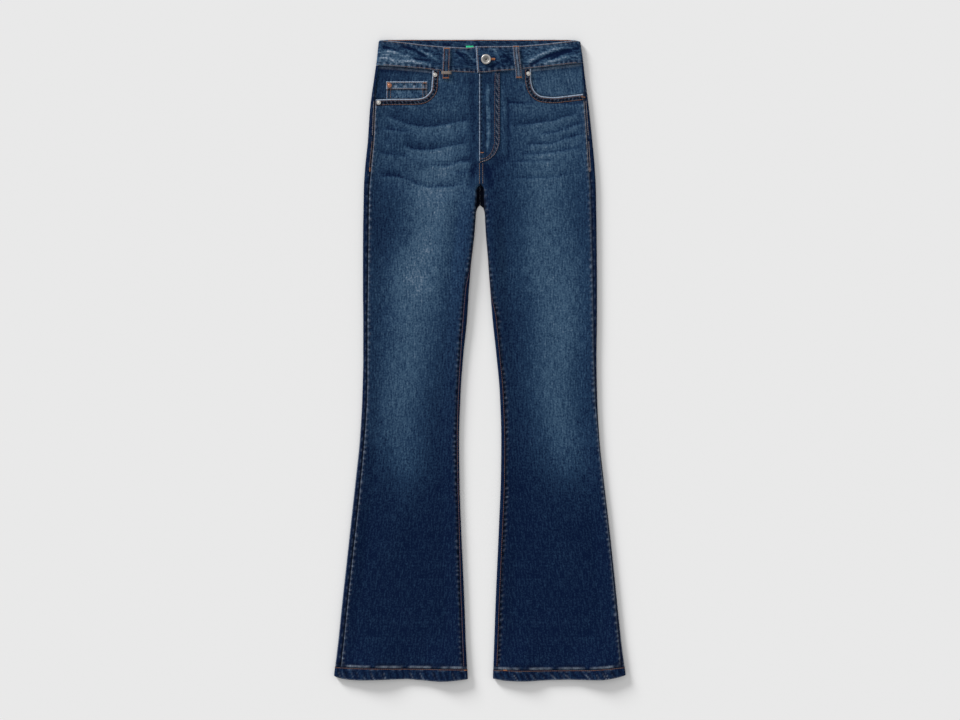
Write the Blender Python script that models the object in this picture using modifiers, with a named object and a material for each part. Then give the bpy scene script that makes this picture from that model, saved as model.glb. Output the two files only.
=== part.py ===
"""Flared jeans laid flat on a surface, front up. Metres, +Z up, the waist toward +Y, the wearer's left at +X."""

import math
from typing import NamedTuple

import bmesh
import bpy
from mathutils import Vector

NAME = "flared_jeans"
MM = 0.001

# Driving dimensions, in millimetres
CLOTH = 1.5            # wall of the leg panels
POCKET_CLOTH = 1.0     # wall of facings, pockets and loops
BAND_CLOTH = 2.4       # wall of the folded waistband
HEM_CLOTH = 2.2        # wall of the turned hem
GAP = 0.3              # clearance between two pieces at a seam
SEAM_SLACK = 0.6       # clearance at the hem's curved seam
LOOP_CLOTH = 1.1       # wall of a belt loop
COIN_FACE = -0.6       # the coin pocket's face below the panels' face
BAND_RISE = 0.5        # the band's face above the panels' face
HEM_RISE = 0.35        # the hem's face above the panels' face
PUFF_REACH = 30.0      # how far a fold's height runs in from the fold
CROTCH_Y = 296.0       # front crotch point
CROTCH_TURN = 5.0      # half the length over which the front turns down at the crotch
FORK_Y = 258.0         # back fork, lower than the front crotch
FORK_TURN = 8.0
LAP_END_X = -4.6       # foot of the band's buttonhole end, lapped on top
LAP_LEAN = 2.6         # how far that end's top leans across
LAP_START_X = 38.0     # button end of the band, hidden under the lap
BUTTON_X = 10.3
BUTTON_Y = 510.9
BUTTON_R = 8.4
RIVET_R = 3.8
COPPER_RIVET_R = 4.2


class Section(NamedTuple):
    """One cross-section of a leg: plan positions from the centre line, seam insets and fold heights."""

    y: float
    outer: float        # outer fold
    inner: float        # inner fold
    outseam: float      # outseam, inward from the outer fold, on the face
    inseam: float       # inseam, outward from the inner fold; negative lies under it
    puff_outer: float   # height of the outer fold
    puff_inner: float   # height of the inner fold
    middle: float       # height of the face between the folds


RIGHT_LEG = (
    #       y     outer  inner  outseam inseam  p.outer p.inner middle
    Section(560, 169.0, 5.1, 5.0, -1.1, 7.0, 7.0, 7.0),
    Section(538, 172.4, 5.1, 5.0, -1.1, 7.0, 7.0, 7.0),
    Section(511, 175.3, 5.1, 4.4, -1.1, 7.0, 7.0, 7.0),
    Section(477, 180.2, 5.1, 5.1, -1.1, 6.8, 6.2, 6.2),
    Section(426, 187.0, 5.1, 9.0, -1.1, 6.8, 6.0, 6.0),
    Section(375, 190.4, 5.1, 10.2, -1.1, 6.7, 6.0, 5.8),
    Section(324, 195.5, 5.1, 10.6, -1.1, 6.7, 6.2, 5.4),
    Section(290, 197.4, 5.3, 9.7, -1.1, 6.7, 6.9, 5.2),
    Section(262, 197.9, 6.3, 9.5, 0.0, 6.6, 8.0, 5.0),
    Section(222, 198.6, 8.8, 9.7, 0.0, 6.6, 10.0, 4.8),
    Section(171, 198.9, 14.4, 9.3, 1.0, 6.5, 10.4, 4.6),
    Section(120, 198.9, 18.7, 8.8, 7.2, 6.5, 9.2, 4.5),
    Section(69, 198.4, 22.1, 7.6, 8.2, 6.5, 7.8, 4.4),
    Section(9, 198.4, 28.3, 7.6, 6.1, 6.4, 6.8, 4.4),
    Section(-59, 199.8, 33.1, 8.3, 5.1, 6.4, 6.3, 4.3),
    Section(-135, 204.2, 35.5, 8.0, 4.6, 6.4, 6.0, 4.3),
    Section(-203, 211.2, 34.8, 8.8, 4.3, 6.4, 6.0, 4.3),
    Section(-271, 218.7, 32.6, 9.4, 4.6, 6.4, 6.1, 4.4),
    Section(-339, 226.1, 29.6, 9.3, 5.8, 6.5, 6.2, 4.5),
    Section(-407, 233.6, 26.6, 9.4, 6.8, 6.6, 6.3, 4.7),
    Section(-475, 240.6, 24.2, 9.6, 6.6, 6.7, 6.5, 5.1),
    Section(-523, 246.4, 21.8, 10.2, 7.2, 6.8, 6.7, 5.4),
    Section(-550, 249.4, 20.2, 10.8, 7.8, 6.8, 6.8, 5.5),
)

LEFT_LEG = (
    #       y     outer  inner  outseam inseam  p.outer p.inner middle
    Section(560, 168.0, 6.5, 5.0, -1.1, 7.0, 7.0, 7.0),
    Section(538, 170.9, 6.5, 4.6, -1.1, 7.0, 7.0, 7.0),
    Section(511, 174.8, 6.5, 4.2, -1.1, 7.0, 7.0, 7.0),
    Section(477, 178.7, 6.5, 4.6, -1.1, 6.8, 6.2, 6.2),
    Section(426, 185.3, 6.5, 7.3, -1.1, 6.8, 6.0, 6.0),
    Section(375, 190.6, 6.5, 9.1, -1.1, 6.7, 6.0, 5.8),
    Section(324, 195.2, 6.5, 10.6, -1.1, 6.7, 6.2, 5.4),
    Section(290, 196.9, 6.6, 10.0, -1.1, 6.7, 6.9, 5.2),
    Section(262, 197.4, 7.5, 9.6, 0.0, 6.6, 8.0, 5.0),
    Section(222, 198.0, 9.4, 9.4, 0.0, 6.6, 10.0, 4.8),
    Section(171, 198.5, 13.6, 8.6, 0.0, 6.5, 10.4, 4.6),
    Section(120, 198.8, 17.2, 7.9, 1.6, 6.5, 9.2, 4.5),
    Section(69, 198.7, 21.4, 7.0, 7.9, 6.5, 7.8, 4.4),
    Section(9, 197.9, 27.8, 5.2, 7.4, 6.4, 6.8, 4.4),
    Section(-59, 198.9, 33.8, 3.6, 7.2, 6.4, 6.3, 4.3),
    Section(-135, 203.0, 36.0, 1.8, 7.6, 6.4, 6.0, 4.3),
    Section(-203, 210.2, 35.3, 1.9, 7.8, 6.4, 6.0, 4.3),
    Section(-271, 218.2, 32.6, 2.4, 8.0, 6.4, 6.1, 4.4),
    Section(-339, 225.6, 29.6, 2.8, 7.8, 6.5, 6.2, 4.5),
    Section(-407, 232.6, 26.6, 3.2, 7.8, 6.6, 6.3, 4.7),
    Section(-475, 239.6, 24.2, 4.4, 7.8, 6.7, 6.5, 5.1),
    Section(-523, 245.8, 22.6, 6.8, 7.5, 6.8, 6.7, 5.4),
    Section(-550, 249.4, 21.8, 8.8, 7.5, 6.8, 6.8, 5.5),
)


class Leg(NamedTuple):
    """A side of the garment: -1 is the wearer's right, +1 the wearer's left."""

    side: int
    table: tuple


RIGHT = Leg(-1, RIGHT_LEG)
LEFT = Leg(1, LEFT_LEG)

# Curves as rows of (x, y)
FRONT_WAIST_SEAM = ((-178, 501.4), (-139, 498.6), (-100, 495.2), (-61, 490.9), (-3, 488.2), (31, 490.8),
                    (66, 493.7), (108, 498.1), (147, 502.5), (176, 505.6))
BACK_WAIST_SEAM = ((-178, 501.4), (-120, 504.6), (0, 507.4), (120, 506.8), (176, 505.6))
FRONT_BAND_TOP = ((-174, 543.2), (-166, 543.8), (-157, 543.0), (-126, 539.8), (-92, 535.6), (-58, 532.9),
                  (-22, 531.2), (-5, 533.2), (56, 533.8), (108, 537.4), (150, 542.0), (162, 543.4), (172, 541.8))
BACK_BAND_TOP = ((-174, 543.2), (-166, 544.4), (-152, 544.8), (-60, 544.9), (60, 544.9), (150, 544.8),
                 (163, 543.8), (172, 541.8))
HEM_SEAM = ((-250, -519.6), (-200, -521.6), (-60, -523.2), (-20, -523.6), (20, -524.4), (80, -525.6),
            (180, -524.8), (250, -519.6))
HEM_EDGE = ((-250, -535.0), (-231, -540.6), (-202, -542.6), (-163, -541.8), (-126, -541.0), (-92, -543.4),
            (-68, -545.0), (-44, -543.6), (-20, -540.9), (22, -540.4), (44, -543.6), (73, -544.6), (110, -543.0),
            (150, -542.0), (202, -542.4), (228, -539.2), (250, -533.4))

# Curves as rows of (y, x)
FRONT_CENTRE = ((560, -1.6), (336, -1.6), (322, 0.6), (280, 0.9))
FLY_STITCH = ((500, 34.2), (370, 34.2), (362, 32.6), (354, 28.4), (346, 21.0), (340, 12.6), (336, 3.4))
YOKE_DEPTH_SIDE = 477.0
YOKE_DEPTH_CENTRE = 440.0

# Pocket mouths as rows of (x, y), from the waist seam round to beyond the side seam
RIGHT_MOUTH = ((-80.6, 520), (-80.6, 486), (-81.6, 475), (-82.6, 461), (-88.4, 452), (-97.2, 446.2), (-108, 444.4),
               (-119, 444.0), (-148, 444.0), (-175, 443.0), (-196, 442.6))
LEFT_MOUTH = ((86.7, 520), (86.7, 478), (88.9, 465.3), (95.0, 454.8), (105.4, 448.7), (125.5, 447.1),
              (147.9, 449.3), (175.4, 452.4), (192, 453.6))
POCKET_BELOW = 14.0    # how far a facing runs under the panel below its mouth
FACING_TUCK = 9.0      # how far it runs in past the mouth's upright edge
COIN_LEFT_X = -159.1
COIN_RIGHT_X = -89.5
COIN_TOP_Y = 473.8


class Fold(NamedTuple):
    """A soft trough (negative height) or ridge in the face, along a line in plan."""

    x0: float
    y0: float
    x1: float
    y1: float
    reach: float
    height: float


FOLDS = (
    #    x0      y0     x1     y1    reach height
    Fold(-150, 412, -40, 400, 17.0, -0.8),
    Fold(-120, 358, -60, 362, 15.0, -0.6),
    Fold(-168, 322, -70, 296, 18.0, -0.8),
    Fold(36,  432, 168, 452, 16.0, -0.7),
    Fold(48,  398, 178, 416, 16.0, -0.8),
    Fold(60,  360, 186, 392, 17.0, -0.7),
    Fold(-130, 60, -95, -40, 26.0, 0.6),
    Fold(100, 40, 128, -70, 26.0, 0.6),
    Fold(-150, -300, -120, -430, 28.0, 0.5),
    Fold(130, -290, 150, -430, 28.0, 0.5),
)


class Loop(NamedTuple):
    """A belt loop on the front: the middle of its head and foot, and its width."""

    head_x: float
    head_y: float
    foot_x: float
    foot_y: float
    width: float


RIGHT_LOOP = Loop(-56.4, 531.0, -58.0, 477.8, 12.4)
LEFT_LOOP = Loop(61.2, 534.2, 66.2, 478.9, 11.4)
# A loop's rise above the panels' face along its length, as (fraction from the head, rise)
LOOP_RISE = ((0.0, 0.9), (0.12, 1.5), (0.4, 2.1), (0.62, 1.6), (0.74, 0.95), (0.84, 0.6), (1.0, 0.35))
KEEPER_Y = (485.6, 490.6)
KEEPER_X = (-65.4, -48.6)
BACK_LOOP_WIDTH = 12.0
BACK_LOOP_X = (-118.0, 0.0, 118.0)

# Back pocket outline as rows of (x from the centre line, y)
BACK_POCKET = ((36, 424), (164, 440), (160, 318), (103, 296), (44, 306))

# Rows of the leg grids down the length
LEG_ROWS = (508, 489, 470, 448, 422, 392, 362, 332, 314, 303, 299, 296, 293, 289, 281, 270, 264, 260, 256,
            252, 246, 232, 208, 182, 154, 122, 90, 50, 6, -44, -98, -156, -216, -278, -342, -404, -462, -500, -522)
TOP_BLEND = 470.0      # rows above this stretch to meet the waist seam
HEM_BLEND = -462.0     # rows below this stretch to meet the hem seam


# ---------------------------------------------------------------- curves and sections

def smooth(t):
    """Ease from 0 to 1."""
    t = min(1.0, max(0.0, t))
    return t * t * (3.0 - 2.0 * t)


def bell(t):
    """A soft bump, 1 at 0 and 0 from 1 on."""
    t = min(1.0, abs(t))
    return (1.0 - t * t) ** 2


def along(rows, at, key=0, value=1):
    """Read a curve given as rows, smoothly between them."""
    order = rows if rows[0][key] < rows[-1][key] else rows[::-1]
    if at <= order[0][key]:
        return order[0][value]
    if at >= order[-1][key]:
        return order[-1][value]
    i = max(k for k in range(len(order) - 1) if order[k][key] <= at)
    a, b = order[i], order[i + 1]
    before = order[i - 1] if i > 0 else a
    after = order[i + 2] if i + 2 < len(order) else b
    span = b[key] - a[key]
    t = (at - a[key]) / span
    rise = (b[value] - a[value]) / span
    slope_a = tangent(before, a, b, key, value, rise)
    slope_b = tangent(a, b, after, key, value, rise)
    h00 = (1 + 2 * t) * (1 - t) ** 2
    h10 = t * (1 - t) ** 2
    h01 = t * t * (3 - 2 * t)
    h11 = t * t * (t - 1)
    return h00 * a[value] + h10 * span * slope_a + h01 * b[value] + h11 * span * slope_b


def tangent(before, here, after, key, value, fallback):
    """A slope at a row that never overshoots its neighbours."""
    if before[key] == here[key] or after[key] == here[key]:
        return fallback
    left = (here[value] - before[value]) / (here[key] - before[key])
    right = (after[value] - here[value]) / (after[key] - here[key])
    if left * right <= 0:
        return 0.0
    return 2 * left * right / (left + right)


def section(leg, y):
    """The leg's section at a height, from its table."""
    values = [along(leg.table, y, 0, k) for k in range(1, len(Section._fields))]
    return Section(y, *values)


def folds_at(x, y):
    """Height that the soft folds add at a plan point."""
    total = 0.0
    for fold in FOLDS:
        dx, dy = fold.x1 - fold.x0, fold.y1 - fold.y0
        t = ((x - fold.x0) * dx + (y - fold.y0) * dy) / (dx * dx + dy * dy)
        near = min(1.0, max(0.0, t))
        away = math.hypot(x - fold.x0 - near * dx, y - fold.y0 - near * dy)
        total += fold.height * bell(away / (2.0 * fold.reach))
    return total


def face_height(leg, s, x):
    """Height of the upper face at a distance x from the centre line, in from both folds."""
    reach = min(PUFF_REACH, 0.42 * (s.outer - s.inner))
    from_outer = s.outer - s.puff_outer / 2 - x
    from_inner = x - s.inner - s.puff_inner / 2
    puffed = (s.puff_outer - s.middle) * bell(max(0.0, from_outer) / reach)
    inner = (s.puff_inner - s.middle) * bell(max(0.0, from_inner) / reach)
    if from_inner < 0:
        inner = s.puff_inner - s.middle
    ease = smooth(from_outer / 14.0) * smooth(from_inner / 14.0)
    return s.middle + puffed + inner + ease * folds_at(leg.side * x, s.y)


def turn_of(y, centre, half):
    """How far a layer turns at its inner fold: 0 runs on to the centre seam, 1 turns right round."""
    return smooth((centre + half - y) / (2.0 * half))


def quarter(puff):
    """Length round a quarter of a fold."""
    return math.pi * puff / 4.0


def seam_length(inset, puff):
    """Length up from a fold's edge to a seam at a plan inset."""
    radius = puff / 2
    if inset >= radius:
        return quarter(puff) + inset - radius
    if inset >= 0:
        return radius * math.acos(1 - inset / radius)
    return inset


def skin(leg, y, way, lift=0.0):
    """The point of the outer face at a length `way` round the section, moved out by `lift`.

    `way` is 0 at the outer fold's edge. It grows over the upper layer and falls under the lower one.
    """
    s = section(leg, y)
    ro, ri = s.puff_outer / 2, s.puff_inner / 2
    qo = quarter(s.puff_outer)
    upper = way >= 0
    length = abs(way)
    start = s.outer - ro
    if length < qo:
        angle = way / ro
        x = start + (ro + lift) * math.cos(angle)
        z = ro + (ro + lift) * math.sin(angle)
        return Vector((leg.side * x, y, z))
    run = length - qo
    stop = s.inner + ri
    past = run - (start - stop)
    if past <= 0:
        x = start - run
        if upper:
            return on_face(leg, s, x, lift)
        return Vector((leg.side * x, y, -lift))
    turn = turn_of(y, CROTCH_Y, CROTCH_TURN) if upper else turn_of(y, FORK_Y, FORK_TURN)
    if turn < 0.02:
        x = stop - past
        if upper:
            return on_face(leg, s, x, lift)
        return Vector((leg.side * x, y, -lift))
    radius = ri / turn
    angle = past / radius
    if angle > math.pi:
        x = stop + (angle - math.pi) * radius
        if upper:
            return Vector((leg.side * x, y, -lift))
        return on_face(leg, s, x, lift)
    reach = radius + lift
    x = stop - reach * math.sin(angle)
    z = s.puff_inner - radius + reach * math.cos(angle) if upper else radius - reach * math.cos(angle)
    return Vector((leg.side * x, y, z))


def on_face(leg, s, x, lift):
    """A point of the upper face between the folds, moved out by `lift` along its slope."""
    z = face_height(leg, s, x)
    slope = (face_height(leg, s, x + 0.5) - face_height(leg, s, x - 0.5)) / 1.0
    out = Vector((-slope, 0.0, 1.0)).normalized() * lift
    return Vector((leg.side * (x + out.x), s.y, z + out.z))


def way_on_face(leg, x, y):
    """Length round the section to a plan point of the upper layer."""
    s = section(leg, y)
    return quarter(s.puff_outer) + s.outer - s.puff_outer / 2 - leg.side * x


def on_front(x, y, lift):
    """A point on the front at a plan position, moved out by `lift`."""
    leg = LEFT if x >= 0 else RIGHT
    return skin(leg, y, way_on_face(leg, x, y), lift)


def outseam_way(leg, y):
    """Length from the outer fold's edge up to the outseam."""
    s = section(leg, y)
    return seam_length(s.outseam, s.puff_outer)


def front_end(leg, y):
    """Length of the front panel past the start of its inner fold, to its inseam or centre seam."""
    s = section(leg, y)
    radius = s.puff_inner / 2
    stop = s.inner + radius
    to_centre = stop - leg.side * along(FRONT_CENTRE, y) - GAP / 2
    turn = turn_of(y, CROTCH_Y, CROTCH_TURN)
    if turn < 0.02:
        return to_centre
    wrap = quarter(s.puff_inner) - seam_length(s.inseam, s.puff_inner) - GAP / 2
    bend = radius / turn
    low = CLOTH + GAP
    cosine = (low + bend - s.puff_inner) / (bend - CLOTH)
    if cosine < 0:
        cosine = (low + bend - s.puff_inner) / bend
    clear = bend * math.acos(min(1.0, cosine))
    return min(to_centre, clear, wrap) if turn > 0.98 else min(to_centre, clear)


def back_end(leg, y):
    """Length of the back panel past the start of its inner fold, to its inseam or centre seam."""
    s = section(leg, y)
    turn = turn_of(y, FORK_Y, FORK_TURN)
    to_centre = s.inner + s.puff_inner / 2 - GAP / 2
    wrap = quarter(s.puff_inner) + seam_length(s.inseam, s.puff_inner) - GAP / 2
    return to_centre + (wrap - to_centre) * smooth(turn * 2.5)


def inner_start(leg, y):
    """Length from the outer fold's edge over to the start of the inner fold."""
    s = section(leg, y)
    return quarter(s.puff_outer) + s.outer - s.puff_outer / 2 - s.inner - s.puff_inner / 2


# ---------------------------------------------------------------- building

def reset_scene():
    """Remove every object and start an empty pair of collections."""
    for obj in list(bpy.data.objects):
        bpy.data.objects.remove(obj)
    scene = bpy.context.scene
    for name in (NAME, "cutters"):
        collection = bpy.data.collections.new(name)
        scene.collection.children.link(collection)
    bpy.data.collections["cutters"].hide_render = True
    scene.unit_settings.system = "METRIC"


FINISHES = {
    #            base colour             metallic rough
    "denim":      ((0.055, 0.090, 0.165), 0.0, 0.92),
    "dark_denim": ((0.028, 0.050, 0.105), 0.0, 0.92),
    "tape":       ((0.090, 0.095, 0.110), 0.0, 0.85),
    "keeper":     ((0.400, 0.380, 0.350), 0.0, 0.90),
    "label":      ((0.080, 0.280, 0.160), 0.0, 0.80),
    "pewter":     ((0.620, 0.610, 0.590), 1.0, 0.35),
    "copper":     ((0.560, 0.300, 0.180), 1.0, 0.38),
}


def finish_material(name, finish):
    """A Principled BSDF material for one piece."""
    colour, metallic, roughness = FINISHES[finish]
    material = bpy.data.materials.new(name)
    material.use_nodes = True
    shader = material.node_tree.nodes["Principled BSDF"]
    shader.inputs["Base Color"].default_value = (*colour, 1.0)
    shader.inputs["Metallic"].default_value = metallic
    shader.inputs["Roughness"].default_value = roughness
    material.diffuse_color = (*colour, 1.0)
    return material


def adopt(name, mesh, finish, collection=NAME):
    """Make an object of a mesh and put it in its collection."""
    obj = bpy.data.objects.new(name, mesh)
    bpy.data.collections[collection].objects.link(obj)
    if finish:
        mesh.materials.append(finish_material(name, finish))
    return obj


def apply_modifiers(obj):
    """Bake an object's modifiers into its mesh."""
    bpy.context.view_layer.update()
    graph = bpy.context.evaluated_depsgraph_get()
    baked = bpy.data.meshes.new_from_object(obj.evaluated_get(graph))
    obj.modifiers.clear()
    old = obj.data
    obj.data = baked
    bpy.data.meshes.remove(old)


def cloth(name, columns, rows, point, span, finish, closed=False):
    """A wall of cloth lofted through point(column, row, lift) between two lifts off the skin.

    A closed wall joins its last column to its first, as a ring.
    """
    low, high = span
    count = columns * rows
    verts = [point(c, r, high) * MM for r in range(rows) for c in range(columns)]
    verts += [point(c, r, low) * MM for r in range(rows) for c in range(columns)]
    faces = []
    for r in range(rows - 1):
        for c in range(columns if closed else columns - 1):
            d = (c + 1) % columns
            quad = (r * columns + c, r * columns + d, (r + 1) * columns + d, (r + 1) * columns + c)
            faces.append(quad)
            faces.append(tuple(k + count for k in reversed(quad)))
    rim = []
    for r, step in ((0, 1), (rows - 1, 1)):
        for c in range(columns if closed else columns - 1):
            rim.append((r * columns + c, r * columns + (c + step) % columns))
    if not closed:
        for c in (0, columns - 1):
            rim += [(r * columns + c, (r + 1) * columns + c) for r in range(rows - 1)]
    faces += [(i, j, j + count, i + count) for i, j in rim]
    mesh = bpy.data.meshes.new(name)
    mesh.from_pydata(verts, [], faces)
    shape = bmesh.new()
    shape.from_mesh(mesh)
    bmesh.ops.recalc_face_normals(shape, faces=shape.faces)
    shape.to_mesh(mesh)
    shape.free()
    mesh.update()
    return adopt(name, mesh, finish)


def prism(name, outline, low, high):
    """A cutter: a plan outline raised between two heights."""
    count = len(outline)
    verts = [Vector((x, y, z)) * MM for z in (low, high) for x, y in outline]
    mesh = bpy.data.meshes.new(name)
    mesh.from_pydata(verts, [], prism_faces(count))
    mesh.update()
    obj = adopt(name, mesh, None, "cutters")
    obj.display_type = "WIRE"
    obj.hide_render = True
    return obj


def slab(name, outline, low, high, finish):
    """A flat solid of cloth: a plan outline raised between two heights."""
    count = len(outline)
    verts = [Vector((x, y, z)) * MM for z in (low, high) for x, y in outline]
    mesh = bpy.data.meshes.new(name)
    mesh.from_pydata(verts, [], prism_faces(count))
    mesh.update()
    return adopt(name, mesh, finish)


def prism_faces(count):
    """Faces of an upright prism with `count` sides, its lower ring of points first."""
    faces = [tuple(range(count - 1, -1, -1)), tuple(range(count, 2 * count))]
    for i in range(count):
        j = (i + 1) % count
        faces.append((i, j, count + j, count + i))
    return faces


def cut(target, cutter):
    """Cut one solid from another."""
    step = target.modifiers.new("cut", "BOOLEAN")
    step.operation = "DIFFERENCE"
    step.solver = "EXACT"
    step.object = cutter
    apply_modifiers(target)


def counter_clockwise(outline):
    """The outline turned so that its prism faces out."""
    area = sum(a[0] * b[1] - b[0] * a[1] for a, b in zip(outline, outline[1:] + outline[:1]))
    return outline if area > 0 else outline[::-1]


def lathe(name, profile, segments, place, finish):
    """A turned piece: a profile of (radius, height) spun round an upright axis at a place."""
    verts = [Vector((r, 0.0, z)) * MM for r, z in profile]
    edges = [(i, i + 1) for i in range(len(profile) - 1)]
    mesh = bpy.data.meshes.new(name)
    mesh.from_pydata(verts, edges, [])
    obj = adopt(name, mesh, finish)
    spin = obj.modifiers.new("spin", "SCREW")
    spin.angle = math.tau
    spin.steps = segments
    spin.render_steps = segments
    spin.use_merge_vertices = True
    spin.merge_threshold = 0.00005
    spin.use_normal_calculate = True
    apply_modifiers(obj)
    for vertex in obj.data.vertices:
        vertex.co += Vector(place) * MM
    return obj


def stretch(y, top, hem):
    """Move a row's nominal height so that the first row meets `top` and the last one `hem`."""
    if y > TOP_BLEND:
        return TOP_BLEND + (y - TOP_BLEND) * (top - TOP_BLEND) / (LEG_ROWS[0] - TOP_BLEND)
    if y < HEM_BLEND:
        return HEM_BLEND + (y - HEM_BLEND) * (hem - HEM_BLEND) / (LEG_ROWS[-1] - HEM_BLEND)
    return y


def spread(marks):
    """Columns through a list of (start, end, count) stretches, as functions of the row's height."""
    columns = []
    for start, end, count in marks:
        for k in range(count):
            columns.append((start, end, k / count))
    columns.append((marks[-1][0], marks[-1][1], 1.0))
    return columns


def column_way(column, y):
    """Length round the section at which a column lies at a height."""
    start, end, t = column
    return start(y) + (end(y) - start(y)) * t


def front_panel(leg, name):
    """The front panel: outseam to centre front or inseam, waist seam to hem."""
    def outer(y):
        return outseam_way(leg, y) + GAP / 2

    def fold(y):
        s = section(leg, y)
        return inner_start(leg, y) - max(0.0, s.inseam - s.puff_inner / 2 + 7.0 if s.inseam > 0 else 0.0)

    def inner(y):
        return inner_start(leg, y) + front_end(leg, y)

    columns = spread([(outer, fold, 10), (fold, inner, 4)])

    def point(c, r, lift):
        y = LEG_ROWS[r]
        x = skin(leg, y, column_way(columns[c], y)).x
        y = stretch(y, along(FRONT_WAIST_SEAM, x) - GAP, along(HEM_SEAM, x) + SEAM_SLACK)
        return skin(leg, y, column_way(columns[c], y), lift)

    return cloth(name, len(columns), len(LEG_ROWS), point, (-CLOTH, 0.0), "denim")


def yoke_seam(leg, column):
    """Height of the yoke seam at a column: level round the fold, dropping to the centre back underneath."""
    way = column_way(column, YOKE_DEPTH_SIDE)
    if way >= 0:
        return YOKE_DEPTH_SIDE
    x = skin(leg, YOKE_DEPTH_SIDE, way).x
    t = smooth(1.0 - abs(x) / 185.0)
    return YOKE_DEPTH_SIDE + (YOKE_DEPTH_CENTRE - YOKE_DEPTH_SIDE) * t


def back_columns(leg):
    """Columns of the back: from the outseam round the outer fold, underneath, and round the inner fold."""
    def outer(y):
        return outseam_way(leg, y) - GAP / 2

    def under(y):
        return -quarter(section(leg, y).puff_outer)

    def fold(y):
        return -inner_start(leg, y)

    def inner(y):
        return -inner_start(leg, y) - back_end(leg, y)

    return spread([(outer, under, 7), (under, fold, 5), (fold, inner, 7)])


def back_panel(leg, name):
    """The back panel, from the yoke seam to the hem."""
    columns = back_columns(leg)
    rows = [y for y in LEG_ROWS if y <= TOP_BLEND]

    def point(c, r, lift):
        y = rows[r]
        if y >= 392:
            top = yoke_seam(leg, columns[c]) - GAP / 2
            y = 392 + (y - 392) * (top - 392) / (rows[0] - 392)
        else:
            x = skin(leg, y, column_way(columns[c], y)).x
            y = stretch(y, 0.0, along(HEM_SEAM, x) + SEAM_SLACK)
        return skin(leg, y, column_way(columns[c], y), lift)

    return cloth(name, len(columns), len(rows), point, (-CLOTH, 0.0), "denim")


def yoke(leg, name):
    """The yoke between the waistband and the back panel."""
    columns = back_columns(leg)
    count = 4

    def point(c, r, lift):
        way = column_way(columns[c], 500.0)
        low = yoke_seam(leg, columns[c]) + GAP / 2
        high = waist_seam(skin(leg, 500.0, way).x, way) - 2 * GAP
        y = high + (low - high) * r / (count - 1)
        return skin(leg, y, column_way(columns[c], y), lift)

    return cloth(name, len(columns), count, point, (-CLOTH, 0.0), "denim")


def waist_seam(x, way):
    """Height of the seam under the waistband, on either layer."""
    return along(FRONT_WAIST_SEAM if way >= 0 else BACK_WAIST_SEAM, x)


def band_top(x, way):
    """Height of the waistband's upper edge, on either layer."""
    return along(FRONT_BAND_TOP if way >= 0 else BACK_BAND_TOP, x)


def band_lift(leg, x, way):
    """How far the band's face stands off the panels' face: it sinks or climbs where its ends lap."""
    if way < 0:
        return 0.0
    climb = BAND_RISE * smooth(way / 6.0)
    if leg is RIGHT:
        return climb - 1.6 * smooth((x + 26.0) / 15.0)
    return climb + 1.3 * smooth((54.0 - x) / 13.0)


def waistband():
    """The waistband: one strip from its button end round the back to its buttonhole end."""
    columns = []
    for x in (LAP_START_X, 16, -4, -10, -16, -22, -28, -46, -70, -95, -120, -145):
        columns.append((RIGHT, "face", x))
    for angle in (90, 60, 30, 0, -30, -60, -90):
        columns.append((RIGHT, "fold", angle))
    for x in (-140, -95, -48, 0):
        columns.append((RIGHT, "under", x))
    for x in (48, 95, 140):
        columns.append((LEFT, "under", x))
    for angle in (-90, -60, -30, 0, 30, 60, 90):
        columns.append((LEFT, "fold", angle))
    for x in (145, 120, 95, 74, 54, 50, 46, 41, 20):
        columns.append((LEFT, "face", x))
    columns.append((LEFT, "end", LAP_END_X))
    rows = 4

    def way_at(column, y):
        leg, where, value = column
        s = section(leg, y)
        if where == "fold":
            return math.radians(value) * s.puff_outer / 2
        if where == "end":
            value -= LAP_LEAN * (y - along(FRONT_WAIST_SEAM, LAP_END_X)) / 44.0
        length = quarter(s.puff_outer) + s.outer - s.puff_outer / 2 - leg.side * value
        return -length if where == "under" else length

    def point(c, r, lift):
        leg = columns[c][0]
        middle = 520.0
        way = way_at(columns[c], middle)
        x = skin(leg, middle, way).x
        low, high = waist_seam(x, way), band_top(x, way)
        y = high + (low - high) * r / (rows - 1)
        way = way_at(columns[c], y)
        return skin(leg, y, way, band_lift(leg, x, way) + lift)

    return cloth("waistband", len(columns), rows, point, (-BAND_CLOTH, 0.0), "dark_denim")


def hem(leg, name):
    """The turned hem: a flattened ring round the foot of a leg."""
    def edge(y):
        return -quarter(section(leg, y).puff_outer)

    def face(y):
        return quarter(section(leg, y).puff_outer)

    def fold(y):
        return inner_start(leg, y)

    def under(y):
        return inner_start(leg, y) + 2 * quarter(section(leg, y).puff_inner)

    def back(y):
        s = section(leg, y)
        return under(y) + s.outer - s.puff_outer / 2 - s.inner - s.puff_inner / 2

    columns = spread([(edge, face, 6), (face, fold, 8), (fold, under, 6), (under, back, 6)])[:-1]
    rows = 4

    def point(c, r, lift):
        x = skin(leg, -532.0, column_way(columns[c], -532.0)).x
        high, low = along(HEM_SEAM, x), along(HEM_EDGE, x)
        y = high + (low - high) * r / (rows - 1)
        way = column_way(columns[c], y)
        rise = HEM_RISE * smooth(skin(leg, y, way).z / 6.0)
        return skin(leg, y, way, rise + lift)

    return cloth(name, len(columns), rows, point, (-HEM_CLOTH, 0.0), "denim", closed=True)


def mouth_cutter(leg, mouth, name):
    """The cutter that opens a pocket mouth in a front panel."""
    side = leg.side
    points = list(mouth)
    points.append((side * 210.0, mouth[-1][1]))
    points.append((side * 210.0, 520.0))
    return prism(name, counter_clockwise(points), 2.5, 12.0)


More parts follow.
